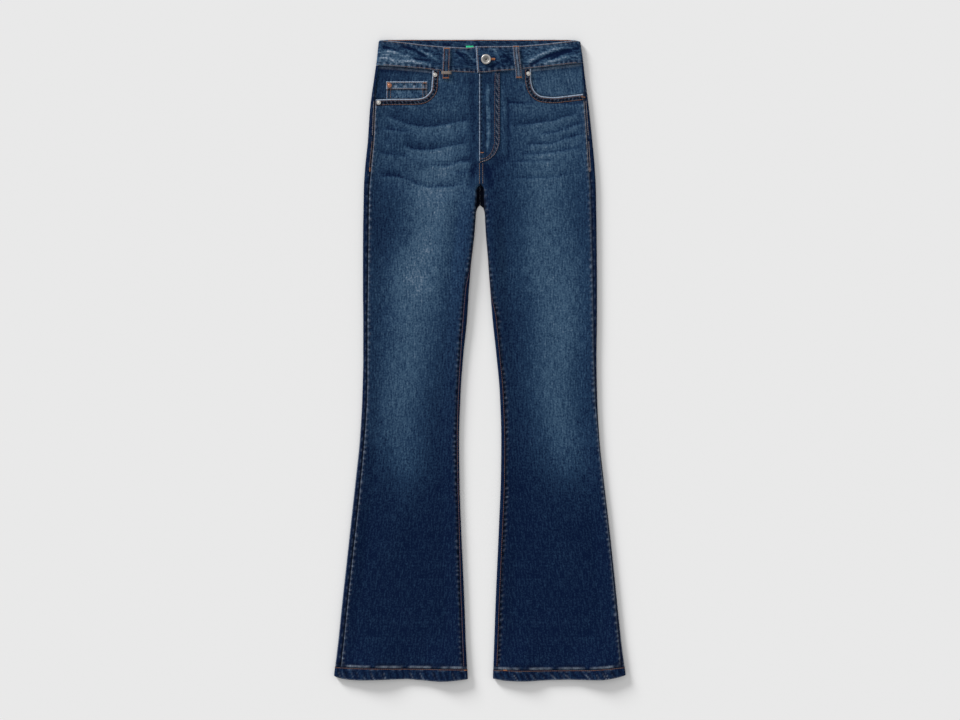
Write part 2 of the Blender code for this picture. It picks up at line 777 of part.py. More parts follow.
def facing(leg, mouth, name):
    """The denim seen in a pocket mouth, tucked under the panel and under the back at the side seam."""
    upright = mouth[1][0]
    inner_x = upright - leg.side * FACING_TUCK
    low = min(y for x, y in mouth) - POCKET_BELOW
    columns, rows = 8, 6

    def point(c, r, lift):
        t = c / (columns - 1)
        x_edge = leg.side * (section(leg, 470.0).outer - 9.0)
        high = along(FRONT_WAIST_SEAM, inner_x + (x_edge - inner_x) * t) - GAP
        y = high + (low - high) * r / (rows - 1)
        s = section(leg, y)
        start = seam_length(s.outseam, s.puff_outer) - 1.0
        end = way_on_face(leg, inner_x, y)
        return skin(leg, y, end + (start - end) * t, lift)

    top = -(CLOTH + GAP)
    return cloth(name, columns, rows, point, (top - POCKET_CLOTH, top), "dark_denim")


def coin_pocket():
    """The small fifth pocket, on the right facing, running down to the mouth's edge."""
    columns, rows = 8, 5

    def point(c, r, lift):
        x = COIN_LEFT_X + (COIN_RIGHT_X - COIN_LEFT_X) * c / (columns - 1)
        curve = sorted(p for p in RIGHT_MOUTH if p[1] < 470)
        low = along(curve, x) + 2 * GAP
        y = COIN_TOP_Y + (low - COIN_TOP_Y) * r / (rows - 1)
        return on_front(x, y, lift)

    return cloth("coin_pocket", columns, rows, point, (-CLOTH, COIN_FACE), "denim")


def fly():
    """The topstitched flap of the fly, on the wearer's left, ending in its J."""
    levels = (487.0, 462, 434, 406, 380, 368, 360, 353, 347, 342, 338)
    columns = 6

    def point(c, r, lift):
        y = levels[r]
        near = along(FRONT_CENTRE, y) + GAP
        far = along(FLY_STITCH, y)
        x = near + (far - near) * c / (columns - 1)
        if r == 0:
            y = along(FRONT_WAIST_SEAM, x) - 2 * GAP
        return on_front_left(x, y, lift)

    return cloth("fly", columns, len(levels), point, (GAP, GAP + 0.8), "denim")


def on_front_left(x, y, lift):
    """A point on the wearer's left front, also just across the centre."""
    return skin(LEFT, y, way_on_face(LEFT, x, y), lift)


def zip_strip():
    """The closed zip, flat under the fly."""
    levels = (484, 450, 416, 382, 356)
    xs = (-9.0, 1.0, 11.0, 21.0)

    def point(c, r, lift):
        return on_front_left(xs[c], levels[r], lift)

    top = -(CLOTH + GAP)
    return cloth("zip", len(xs), len(levels), point, (top - 1.0, top), "tape")


def front_loop(loop, name):
    """A belt loop bridging the band on the front."""
    rows, columns = 13, 3

    def point(c, r, lift):
        t = r / (rows - 1)
        x = loop.head_x + (loop.foot_x - loop.head_x) * smooth(t) + loop.width * (c / (columns - 1) - 0.5)
        y = loop.head_y + (loop.foot_y - loop.head_y) * t
        return on_front(x, y, along(LOOP_RISE, t) + lift)

    return cloth(name, columns, rows, point, (0.0, LOOP_CLOTH), "dark_denim")


def loop_keeper():
    """The narrow cross tab over the foot of the right front loop, one end turned down to the panel."""
    xs = (KEEPER_X[0], -61.0, -56.0, -51.4, -50.0, KEEPER_X[1])
    rises = (2.5, 2.5, 2.5, 2.4, 0.9, 0.5)

    def point(c, r, lift):
        y = KEEPER_Y[1] + (KEEPER_Y[0] - KEEPER_Y[1]) * r / 2
        return on_front(xs[c], y, rises[c] + lift)

    return cloth("loop_keeper", len(xs), 3, point, (0.0, 0.8), "keeper")


def box_outline(x0, x1, y0, y1):
    """A rectangle in plan."""
    return [(x0, y0), (x1, y0), (x1, y1), (x0, y1)]


def back_loop(name, x, band):
    """A belt loop on the back, let into the underside of the band so that the garment rests flat."""
    half = BACK_LOOP_WIDTH / 2
    slot = prism(name + "_slot", box_outline(x - half - GAP, x + half + GAP, 495.0, 556.0), -1.0, 1.3)
    cut(band, slot)
    low = along(BACK_WAIST_SEAM, x) + GAP
    high = along(BACK_BAND_TOP, x) - 0.4
    return slab(name, box_outline(x - half, x + half, low, high), 0.0, POCKET_CLOTH, "dark_denim")


def back_pocket(leg, name, panel):
    """A patch pocket let into the back panel, flush with it underneath."""
    outline = counter_clockwise([(leg.side * x, y) for x, y in BACK_POCKET])
    cx = sum(p[0] for p in outline) / len(outline)
    cy = sum(p[1] for p in outline) / len(outline)
    cutter = prism(name + "_seat", outline, -1.0, 3.0)
    cut(panel, cutter)
    inset = [(cx + (x - cx) * 0.994, cy + (y - cy) * 0.994) for x, y in outline]
    return slab(name, inset, 0.0, CLOTH, "denim")


def label():
    """The small plain woven tag on the inside of the back waistband."""
    low = BAND_CLOTH + GAP
    return slab("label", box_outline(-23.8, -6.4, 522.0, 534.6), low, low + 0.5, "label")


def button():
    """The shank button: a domed rim round a dished face with a small well."""
    base = on_front(BUTTON_X, BUTTON_Y, BAND_RISE + 1.3 + GAP)
    r = BUTTON_R
    profile = ((0.0, 0.0), (r * 0.86, 0.0), (r * 0.97, 0.5), (r, 1.3), (r * 0.96, 2.2), (r * 0.84, 2.7),
               (r * 0.66, 2.6), (r * 0.36, 2.5), (r * 0.30, 2.2), (r * 0.27, 1.5), (0.0, 1.4))
    return lathe("button", profile, 32, base, "pewter")


def rivet(name, x, y, radius, lift, finish):
    """A rivet cap with a raised rim and a nipple."""
    base = on_front(x, y, lift)
    profile = ((0.0, 0.0), (radius * 0.9, 0.0), (radius, 0.5), (radius * 0.9, 1.1), (radius * 0.66, 1.15),
               (radius * 0.42, 0.95), (radius * 0.26, 1.5), (0.0, 1.7))
    return lathe(name, profile, 16, base, finish)


def centre_objects():
    """Shift every piece so that the origin is under the middle of the whole garment."""
    pieces = list(bpy.data.collections[NAME].objects)
    xs = [v.co.x for p in pieces for v in p.data.vertices]
    ys = [v.co.y for p in pieces for v in p.data.vertices]
    shift = Vector((-(min(xs) + max(xs)) / 2, -(min(ys) + max(ys)) / 2, 0.0))
    for piece in pieces:
        for vertex in piece.data.vertices:
            vertex.co += shift
    print("shift (mm):", round(shift.x / MM, 3), round(shift.y / MM, 3))


def main():
    """Build every piece of the jeans."""
    reset_scene()
    front_right = front_panel(RIGHT, "front_leg_right")
    front_left = front_panel(LEFT, "front_leg_left")
    cut(front_right, mouth_cutter(RIGHT, RIGHT_MOUTH, "mouth_right"))
    cut(front_left, mouth_cutter(LEFT, LEFT_MOUTH, "mouth_left"))
    back_right = back_panel(RIGHT, "back_leg_right")
    back_left = back_panel(LEFT, "back_leg_left")
    yoke(RIGHT, "yoke_right")
    yoke(LEFT, "yoke_left")
    band = waistband()
    hem(RIGHT, "hem_right")
    hem(LEFT, "hem_left")
    facing(RIGHT, RIGHT_MOUTH, "pocket_facing_right")
    facing(LEFT, LEFT_MOUTH, "pocket_facing_left")
    coin_pocket()
    fly()
    zip_strip()
    front_loop(RIGHT_LOOP, "belt_loop_front_right")
    front_loop(LEFT_LOOP, "belt_loop_front_left")
    loop_keeper()
    back_loop("belt_loop_side_right", BACK_LOOP_X[0], band)
    back_loop("belt_loop_centre_back", BACK_LOOP_X[1], band)
    back_loop("belt_loop_side_left", BACK_LOOP_X[2], band)
    back_pocket(RIGHT, "back_pocket_right", back_right)
    back_pocket(LEFT, "back_pocket_left", back_left)
    label()
    button()
    rivet("rivet_mouth_right_top", -76.3, 484.8, RIVET_R, GAP, "pewter")
    rivet("rivet_mouth_right_side", -171.9, 437.7, RIVET_R, GAP, "pewter")
    rivet("rivet_mouth_left_top", 82.4, 486.7, RIVET_R, GAP, "pewter")
    rivet("rivet_coin_pocket", -153.9, 467.1, COPPER_RIVET_R, COIN_FACE + GAP, "copper")
    centre_objects()


main()
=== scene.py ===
"""Flared jeans laid flat, front up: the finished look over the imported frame.

Sizes are in millimetres until a mesh is made. X runs to the wearer's left, Y to the waist and Z up off the
surface.
"""

from __future__ import annotations

import logging
import math
from dataclasses import dataclass, field
from enum import Enum
from typing import Any, Callable, Sequence

import bpy
import numpy as np
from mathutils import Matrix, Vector


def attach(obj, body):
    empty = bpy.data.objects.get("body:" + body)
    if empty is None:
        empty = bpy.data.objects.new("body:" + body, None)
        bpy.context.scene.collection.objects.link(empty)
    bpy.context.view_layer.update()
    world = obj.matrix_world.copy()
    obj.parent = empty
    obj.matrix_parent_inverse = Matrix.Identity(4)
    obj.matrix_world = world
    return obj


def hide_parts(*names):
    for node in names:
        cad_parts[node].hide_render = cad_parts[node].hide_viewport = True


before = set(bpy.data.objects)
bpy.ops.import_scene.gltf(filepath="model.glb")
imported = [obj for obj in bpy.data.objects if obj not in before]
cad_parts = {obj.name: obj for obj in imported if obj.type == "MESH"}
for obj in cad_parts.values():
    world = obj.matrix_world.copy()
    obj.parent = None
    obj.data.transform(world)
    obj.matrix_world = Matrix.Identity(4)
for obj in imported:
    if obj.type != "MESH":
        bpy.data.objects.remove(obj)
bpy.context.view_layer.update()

logging.basicConfig(level=logging.INFO, format="%(message)s")
LOG = logging.getLogger("jeans")

MM = 0.001
SHIFT_X = 0.276         # the frame's origin, under the middle of the garment
SHIFT_Y = -0.033
SHELL = 1.1             # wall of a leg panel
SEAM_GAP = 0.3          # clearance between two pieces at a seam
PUFF_REACH = 30.0       # how far a fold's height runs in from the fold
PATCH_ROOM = 1.15       # how far the lower layer lifts over what is sewn under it
UNDER_ROW = 0.22        # height of the thread of the rows on the underside
FAR = 99.0              # a distance at which a seam or an edge has no effect
FLOOR_DROP = 0.35       # how far down the sheet lies, clear of the lowest thread

Array = np.ndarray
Point = tuple[float, float]


# ------------------------------------------------------------------ shape of the garment

class Curve:
    """A smooth curve through rows, with no overshoot between them."""

    def __init__(self, at: Sequence[float], value: Sequence[float]) -> None:
        """Work out the slope at each row.

        Args:
            at: positions of the rows, in any order.
            value: the curve's value at each.
        """
        order = np.argsort(np.asarray(at, dtype=float))
        self.at = np.asarray(at, dtype=float)[order]
        self.value = np.asarray(value, dtype=float)[order]
        rise = np.diff(self.value) / np.diff(self.at)
        slope = np.zeros_like(self.at)
        slope[0], slope[-1] = rise[0], rise[-1]
        product = rise[:-1] * rise[1:]
        total = rise[:-1] + rise[1:]
        safe = np.where(np.abs(total) < 1e-12, 1.0, total)
        slope[1:-1] = np.where(product > 0, 2 * product / safe, 0.0)
        self.slope = slope

    def __call__(self, at: Any) -> Array:
        """Read the curve at one or more positions."""
        at = np.clip(np.asarray(at, dtype=float), self.at[0], self.at[-1])
        i = np.clip(np.searchsorted(self.at, at, side="right") - 1, 0, len(self.at) - 2)
        span = self.at[i + 1] - self.at[i]
        t = (at - self.at[i]) / span
        return (
            (1 + 2 * t) * (1 - t) ** 2 * self.value[i]
            + t * (1 - t) ** 2 * span * self.slope[i]
            + t * t * (3 - 2 * t) * self.value[i + 1]
            + t * t * (t - 1) * span * self.slope[i + 1]
        )


def held(t: Any) -> Array:
    """Values kept between 0 and 1."""
    return np.clip(t, 0.0, 1.0)


def smooth(t: Any) -> Array:
    """Ease from 0 to 1."""
    t = held(t)
    return t * t * (3.0 - 2.0 * t)


def bell(t: Any) -> Array:
    """A soft bump, 1 at 0 and 0 from 1 on."""
    t = held(np.abs(t))
    return (1.0 - t * t) ** 2


def mix(a: Any, b: Any, t: Any) -> Any:
    """Blend from a to b."""
    return a + (b - a) * t


def joined(*parts: Any) -> Array:
    """Coordinates put together, so that the last axis runs over them."""
    return np.stack(np.broadcast_arrays(*parts), axis=-1)


def lattice(left: float, right: float, columns: int, top: float, foot: float,
            rows: int) -> tuple[Array, Array]:
    """An even grid.

    Args:
        left: value of the first column.
        right: value of the last one.
        columns: how many there are.
        top: value of the first row.
        foot: value of the last one.
        rows: how many there are.

    Returns:
        The columns' and the rows' value at each point.
    """
    across, down = np.meshgrid(np.linspace(left, right, columns), np.linspace(top, foot, rows))
    return across, down


def run_along(line: Array) -> Array:
    """Length from the first point of a plan line to each of its points."""
    return np.concatenate([[0.0], np.cumsum(np.hypot(*np.diff(line, axis=0).T))])


def noise1(x: Any, seed: float) -> Array:
    """A smooth, seeded, uneven wave between about -1 and 1."""
    x = np.asarray(x, dtype=float)
    return (
        0.46 * np.sin(x * 1.00 + seed * 1.7)
        + 0.30 * np.sin(x * 2.17 + seed * 3.1 + 1.3)
        + 0.24 * np.sin(x * 3.91 + seed * 0.7 + 4.1)
    )


class Side(Enum):
    """A side of the wearer."""

    RIGHT = -1
    LEFT = 1

    @property
    def word(self) -> str:
        """The side as it stands in the names of pieces and nodes."""
        return self.name.lower()

    @classmethod
    def at(cls, x: float) -> "Side":
        """The side that a plan position lies on."""
        return cls.LEFT if x > 0 else cls.RIGHT


@dataclass(frozen=True)
class Section:
    """One cross-section of both legs at a height.

    Each leg has the plan positions of its outer and inner folds, from the centre line, and how far in from
    them the outseam and the inseam lie. Both have the same heights at the outer fold, at the inner fold and
    between them.
    """

    y: float
    right: tuple[float, float, float, float]
    left: tuple[float, float, float, float]
    heights: tuple[float, float, float]

    def of(self, side: Side) -> tuple[float, ...]:
        """The whole row of one leg."""
        return (self.right if side is Side.RIGHT else self.left) + self.heights


SECTIONS = (
    # y, then the right leg's and the left leg's four measures, then the three heights
    Section(560, (169.0, 5.1, 5.0, -1.1), (168.0, 6.5, 5.0, -1.1), (7.0, 7.0, 7.0)),
    Section(538, (172.4, 5.1, 5.0, -1.1), (170.9, 6.5, 4.6, -1.1), (7.0, 7.0, 7.0)),
    Section(511, (175.3, 5.1, 4.4, -1.1), (174.8, 6.5, 4.2, -1.1), (7.0, 7.0, 7.0)),
    Section(477, (180.2, 5.1, 5.1, -1.1), (178.7, 6.5, 4.6, -1.1), (6.8, 6.2, 6.2)),
    Section(426, (187.0, 5.1, 9.0, -1.1), (185.3, 6.5, 7.3, -1.1), (6.8, 6.0, 6.0)),
    Section(375, (190.4, 5.1, 10.2, -1.1), (190.6, 6.5, 9.1, -1.1), (6.7, 6.0, 5.8)),
    Section(324, (195.5, 5.1, 10.6, -1.1), (195.2, 6.5, 10.6, -1.1), (6.7, 6.2, 5.4)),
    Section(290, (197.4, 5.3, 9.7, -1.1), (196.9, 6.6, 10.0, -1.1), (6.7, 6.9, 5.2)),
    Section(262, (197.9, 6.3, 9.5, 0.0), (197.4, 7.5, 9.6, 0.0), (6.6, 8.0, 5.0)),
    Section(222, (198.6, 8.8, 9.7, 0.0), (198.0, 9.4, 9.4, 0.0), (6.6, 10.0, 4.8)),
    Section(171, (198.9, 14.4, 9.3, 1.0), (198.5, 13.6, 8.6, 0.0), (6.5, 10.4, 4.6)),
    Section(120, (198.9, 18.7, 8.8, 7.2), (198.8, 17.2, 7.9, 1.6), (6.5, 9.2, 4.5)),
    Section(69, (198.4, 22.1, 7.6, 8.2), (198.7, 21.4, 7.0, 7.9), (6.5, 7.8, 4.4)),
    Section(9, (198.4, 28.3, 7.6, 6.1), (197.9, 27.8, 5.2, 7.4), (6.4, 6.8, 4.4)),
    Section(-59, (199.8, 33.1, 8.3, 5.1), (198.9, 33.8, 3.6, 7.2), (6.4, 6.3, 4.3)),
    Section(-135, (204.2, 35.5, 8.0, 4.6), (203.0, 36.0, 1.8, 7.6), (6.4, 6.0, 4.3)),
    Section(-203, (211.2, 34.8, 8.8, 4.3), (210.2, 35.3, 1.9, 7.8), (6.4, 6.0, 4.3)),
    Section(-271, (218.7, 32.6, 9.4, 4.6), (218.2, 32.6, 2.4, 8.0), (6.4, 6.1, 4.4)),
    Section(-339, (226.1, 29.6, 9.3, 5.8), (225.6, 29.6, 2.8, 7.8), (6.5, 6.2, 4.5)),
    Section(-407, (233.6, 26.6, 9.4, 6.8), (232.6, 26.6, 3.2, 7.8), (6.6, 6.3, 4.7)),
    Section(-475, (240.6, 24.2, 9.6, 6.6), (239.6, 24.2, 4.4, 7.8), (6.7, 6.5, 5.1)),
    Section(-523, (246.4, 21.8, 10.2, 7.2), (245.8, 22.6, 6.8, 7.5), (6.8, 6.7, 5.4)),
    Section(-550, (249.4, 20.2, 10.8, 7.8), (249.4, 21.8, 8.8, 7.5), (6.8, 6.8, 5.5)),
)

CROTCH_Y, CROTCH_TURN = 296.0, 5.0
FORK_Y, FORK_TURN = 258.0, 8.0

FRONT_WAIST_SEAM = Curve((-178, -139, -100, -61, -3, 31, 66, 108, 147, 176),
                         (501.4, 498.6, 495.2, 490.9, 488.2, 490.8, 493.7, 498.1, 502.5, 505.6))
BACK_WAIST_SEAM = Curve((-178, -120, 0, 120, 176), (501.4, 504.6, 507.4, 506.8, 505.6))
FRONT_BAND_TOP = Curve((-174, -166, -157, -126, -92, -58, -22, -5, 56, 108, 150, 162, 172),
                       (543.2, 543.8, 543.0, 539.8, 535.6, 532.9, 531.2, 533.2, 533.8, 537.4, 542.0, 543.4,
                        541.8))
BACK_BAND_TOP = Curve((-174, -166, -152, -60, 60, 150, 163, 172),
                      (543.2, 544.4, 544.8, 544.9, 544.9, 544.8, 543.8, 541.8))
HEM_SEAM = Curve((-250, -200, -60, -20, 20, 80, 180, 250),
                 (-519.6, -521.6, -523.2, -523.6, -524.4, -525.6, -524.8, -519.6))
HEM_EDGE = Curve((-250, -231, -202, -163, -126, -92, -68, -44, -20, 22, 44, 73, 110, 150, 202, 228, 250),
                 (-535.0, -540.6, -542.6, -541.8, -541.0, -543.4, -545.0, -543.6, -540.9, -540.4, -543.6,
                  -544.6, -543.0, -542.0, -542.4, -539.2, -533.4))
HEM_LIFT = 5.2          # how far a wave of the hems lifts off the surface; each wave is x, reach and share
HEM_WAVES = ((-184.0, 62.0, 1.0), (-56.0, 44.0, 0.9), (68.0, 46.0, 0.8), (204.0, 52.0, 1.0))
FRONT_CENTRE = Curve((560, 336, 322, 280), (-1.6, -1.6, 0.6, 0.9))
FLY_EDGE = Curve((500, 370, 362, 354, 346, 340, 336),
                 (34.2, 34.2, 32.6, 28.4, 21, 12.6, 3.4))
YOKE_SIDE_Y, YOKE_CENTRE_Y, YOKE_HALF_WIDTH = 477.0, 440.0, 185.0

RIGHT_MOUTH = ((-80.6, 520), (-80.6, 486), (-81.6, 475), (-82.6, 461), (-88.4, 452), (-97.2, 446.2),
               (-108, 444.4), (-119, 444), (-148, 444), (-175, 443), (-196, 442.6))
LEFT_MOUTH = ((86.7, 520), (86.7, 478), (88.9, 465.3), (95, 454.8), (105.4, 448.7), (125.5, 447.1),
              (147.9, 449.3), (175.4, 452.4), (192, 453.6))
MOUTHS = {Side.RIGHT: RIGHT_MOUTH, Side.LEFT: LEFT_MOUTH}
MOUTH_BAND = 10.8       # width of the stitched edge of a pocket mouth

BACK_POCKET = ((36, 424), (164, 440), (160, 318), (103, 296), (44, 306))
BACK_LOOP_X = (-118.0, 0.0, 118.0)


@dataclass(frozen=True)
class Crease:
    """A soft trough (negative height) or ridge along a bowed line in plan; its fade is wear on a ridge,
    painted shade in a trough.
    """

    x0: float
    y0: float
    x1: float
    y1: float
    bow: float
    reach: float
    height: float
    # fade: a paler ridge is wear; a darker trough is painted shade
    fade: float = 0.0

    def away(self, x: Array, y: Array) -> Array:
        """Distance from the crease, growing past its ends.

        Args:
            x: plan positions across.
            y: plan positions along.

        Returns:
            Distances in millimetres.
        """
        x, y = np.broadcast_arrays(np.asarray(x, dtype=float), np.asarray(y, dtype=float))
        t = np.linspace(0.0, 1.0, 15 if self.bow else 2)
        dx, dy = self.x1 - self.x0, self.y1 - self.y0
        size = math.hypot(dx, dy)
        arc = 4.0 * t * (1.0 - t) * self.bow
        px = self.x0 + dx * t - dy / size * arc
        py = self.y0 + dy * t + dx / size * arc
        spare = self.reach + 1.0
        near = ((x > px.min() - spare) & (x < px.max() + spare)
                & (y > py.min() - spare) & (y < py.max() + spare))
        here_x, here_y = x[near], y[near]
        found = np.full(here_x.shape, 1e9)
        for a in range(len(t) - 1):
            ex, ey = px[a + 1] - px[a], py[a + 1] - py[a]
            u = held(((here_x - px[a]) * ex + (here_y - py[a]) * ey) / (ex * ex + ey * ey))
            found = np.minimum(found, (here_x - px[a] - u * ex) ** 2 + (here_y - py[a] - u * ey) ** 2)
        best = np.full(x.shape, 1e9)
        best[near] = found
        return np.sqrt(best)


CREASES = (
    # the large soft folds that the solids also have
    Crease(-150, 412, -40, 400, 0, 34.0, -0.8),
    Crease(-120, 358, -60, 362, 0, 30.0, -0.6),
    Crease(-168, 322, -70, 296, 0, 36.0, -0.8),
    Crease(36, 432, 168, 452, 0, 32.0, -0.7),
    Crease(48, 398, 178, 416, 0, 32.0, -0.8),
    Crease(60, 360, 186, 392, 0, 34.0, -0.7),
    Crease(-130, 60, -95, -40, 0, 52.0, 0.6),
    Crease(100, 40, 128, -70, 0, 52.0, 0.6),
    Crease(-150, -300, -120, -430, 0, 56.0, 0.5),
    Crease(130, -290, 150, -430, 0, 56.0, 0.5),
    # long soft folds down the thighs and calves
    Crease(-60, 270, -84, 120, 8, 22.4, 0.40, 0.05),
    Crease(-150, 250, -158, 80, -6, 25.2, -0.35, -0.05),
    Crease(60, 250, 84, 90, -8, 25.2, -0.35, -0.05),
    Crease(150, 200, 150, 20, 6, 25.2, 0.35, 0.05),
    Crease(-104, -120, -160, -330, 10, 30.8, 0.45, 0.04),
    Crease(90, -140, 150, -350, -12, 30.8, 0.45, 0.04),
    Crease(-190, -260, -214, -430, 4, 25.2, -0.40, 0.0),
    Crease(196, -250, 220, -430, -4, 25.2, -0.40, 0.0),
    Crease(-70, -300, -60, -470, 5, 22.4, -0.35, 0.0),
    Crease(70, -330, 60, -480, -5, 22.4, -0.35, 0.0),
    # small drags from the pockets, loops and fly
    Crease(-170, 433, -146, 425, 1, 2.8, 0.20, 0.34),
    Crease(-131, 432, -110, 427, 1, 2.8, 0.20, 0.28),
    Crease(-74, 484, -64, 473, 0, 2.4, 0.15, 0.36),
    Crease(-66, 474, -44, 467, 3, 5.6, -0.40, 0.16),
    Crease(74, 470, 62, 462, -2, 5.6, -0.35, 0.12),
    Crease(40.5, 454, 41, 352, 0, 6.5, 0.22, 0.14),
    # the fly's fold: a trough with a painted shadow beside the fly's edge
    Crease(47.8, 446, 48.8, 342, 0, 4.5, -0.35, -0.26),
    Crease(36, 342, 12, 322, 2, 13.0, -0.30, -0.20),
    Crease(-14, 480, -12, 320, 2, 11.0, -0.30, -0.22),
    Crease(-6, 330, -14, 300, -2, 9.8, -0.50, -0.22),
    Crease(8, 330, 18, 300, 2, 9.8, -0.50, -0.22),
)


@dataclass(frozen=True)
class Whisker:
    """A wash line on the hip: dark above a crisp edge, partly painted shade in its trough, and rubbed paler
    below it.
    """

    line: tuple[Point, ...]
    width: float
    dark: float
    rub: float
    height: float = 0.32

    def read(self, x: Array, y: Array) -> tuple[Array, Array]:
        """Height above the line and how strong the line is there.

        Args:
            x: plan positions across.
            y: plan positions along.

        Returns:
            Signed distances, positive toward the waist, and strengths from 0 to 1.
        """
        points = along_line(self.line, 4.0)
        spare = 2.4 * self.width + 12.0
        near = ((x > points[:, 0].min() - 2) & (x < points[:, 0].max() + 2)
                & (y > points[:, 1].min() - spare) & (y < points[:, 1].max() + spare))
        here = x[near]
        level = np.interp(here, points[:, 0], points[:, 1])
        along = (here - points[0, 0]) / (points[-1, 0] - points[0, 0])
        level = level + 0.7 * noise1(here / 6.0, self.width) + 0.5 * noise1(here / 2.4, self.dark * 20)
        uneven = 0.74 + 0.26 * noise1(here / 15.0, self.width + self.dark * 9)
        away, strength = np.full(x.shape, 1e3), np.zeros(x.shape)
        away[near] = y[near] - level
        strength[near] = smooth(along / 0.14) * smooth((1 - along) / 0.14) * uneven
        return away, strength

    def fade(self, x: Array, y: Array) -> Array:
        """What the line adds to the wash, with painted shade in its trough."""
        away, strength = self.read(x, y)
        above = np.exp(-(np.maximum(away, 0) / self.width) ** 2) * np.exp(-(np.minimum(away, 0) / 1.2) ** 2)
        rubbed = 1.3 * bell((away + 4.6) / 5.4) + 0.7 * bell((away + 12.0) / 12.0)
        core = bell((away - 0.6) / 2.0)
        return strength * (1.15 * self.rub * rubbed - self.dark * (1.15 * above + 0.65 * core))

    def relief(self, x: Array, y: Array) -> Array:
        """What the line adds to the height."""
        away, strength = self.read(x, y)
        return strength * self.height * (bell((away + 4.0) / 6.0) - bell((away - 3.0) / 7.0))


WHISKERS = (
    # right hip
    Whisker(((-162, 418), (-140, 409), (-112, 400), (-86, 398), (-53, 403), (-10, 411)), 12.0, 0.34, 0.20),
    Whisker(((-164, 394), (-141, 391), (-119, 389.5)), 5.0, 0.30, 0.10),
    Whisker(((-135, 371), (-112, 359.6), (-84, 358.4), (-53, 365), (-18, 370)), 12.0, 0.40, 0.18),
    Whisker(((-174, 353), (-148, 349.4), (-120, 346.6)), 5.5, 0.26, 0.10),
    Whisker(((-91, 332), (-55, 331), (-33, 339), (-12, 336)), 6.5, 0.30, 0.16),
    Whisker(((-178, 314), (-156, 314), (-130, 311), (-110, 301), (-84, 295), (-53, 296), (-24, 300)), 8.0,
            0.34, 0.12),
    Whisker(((-46, 320), (-28, 319), (-11, 321)), 6.0, 0.24, 0.05),
    # left hip
    Whisker(((46, 438), (70, 437), (94, 438.5)), 3.0, 0.30, 0.10),
    Whisker(((132, 437), (158, 436), (182, 438)), 3.0, 0.26, 0.08),
    Whisker(((51, 398.8), (94, 403.8), (124, 408.3), (148, 415.7), (174, 423)), 9.0, 0.32, 0.16),
    Whisker(((100, 386), (124, 387.6), (142, 393), (160, 400), (178, 405)), 6.0, 0.28, 0.14),
    Whisker(((76, 367.5), (112, 368), (130, 371.5), (148, 378.6), (176, 385)), 6.0, 0.32, 0.16),
    Whisker(((62, 349.4), (115, 352.8), (136, 356.2), (154, 359.6), (178, 363.5)), 5.0, 0.28, 0.14),
    Whisker(((56, 340.3), (94, 338.5), (126, 339.2)), 5.0, 0.22, 0.10),
    Whisker(((48, 310.6), (112, 310.6), (156, 319)), 6.0, 0.20, 0.08),
)


@dataclass(frozen=True)
class FadeRow:
    """The wash across a leg at one height: where its pale band lies, and how pale it and each side are."""

    y: float
    centre: float
    width: float
    peak: float
    outer: float
    inner: float


FADES = {
    Side.RIGHT: (
        #       y  centre width peak outer inner
        FadeRow(540, -95, 60, 0.60, 0.45, 0.45),
        FadeRow(480, -70, 60, 0.50, 0.40, 0.40),
        FadeRow(417, -55, 40, 0.60, 0.45, 0.40),
        FadeRow(340, -65, 45, 0.80, 0.50, 0.35),
        FadeRow(285, -80, 50, 0.95, 0.30, 0.40),
        FadeRow(225, -85, 45, 0.90, 0.25, 0.20),
        FadeRow(140, -110, 50, 1.00, 0.30, 0.25),
        FadeRow(60, -115, 50, 0.80, 0.25, 0.20),
        FadeRow(-40, -130, 45, 0.75, 0.20, 0.20),
        FadeRow(-110, -140, 45, 0.65, 0.15, 0.15),
        FadeRow(-170, -130, 40, 0.50, 0.10, 0.10),
        FadeRow(-220, -125, 40, 0.20, 0.10, 0.05),
        FadeRow(-280, -120, 40, 0.05, 0.05, 0.05),
    ),
    Side.LEFT: (
        #       y  centre width peak outer inner
        FadeRow(540, 110, 60, 0.60, 0.40, 0.40),
        FadeRow(450, 110, 55, 0.60, 0.50, 0.35),
        FadeRow(375, 110, 55, 0.65, 0.50, 0.30),
        FadeRow(330, 110, 50, 0.75, 0.40, 0.25),
        FadeRow(240, 110, 55, 0.75, 0.25, 0.15),
        FadeRow(140, 120, 60, 0.80, 0.25, 0.20),
        FadeRow(60, 130, 50, 0.80, 0.20, 0.15),
        FadeRow(-40, 125, 45, 0.75, 0.20, 0.15),
        FadeRow(-115, 135, 40, 0.70, 0.20, 0.15),
        FadeRow(-170, 145, 40, 0.55, 0.15, 0.10),
        FadeRow(-220, 150, 40, 0.20, 0.10, 0.05),
        FadeRow(-280, 160, 40, 0.05, 0.05, 0.05),
    ),
}


@dataclass
class Marks:
    """What the wash and wear do to the denim at each point, and the shade painted into it: all between 0 and
    1.
    """

    fade: Array | float
    wear: Array | float
    # shade: painted shade, toward near black, in seams, creases, troughs and recesses
    shade: Array | float


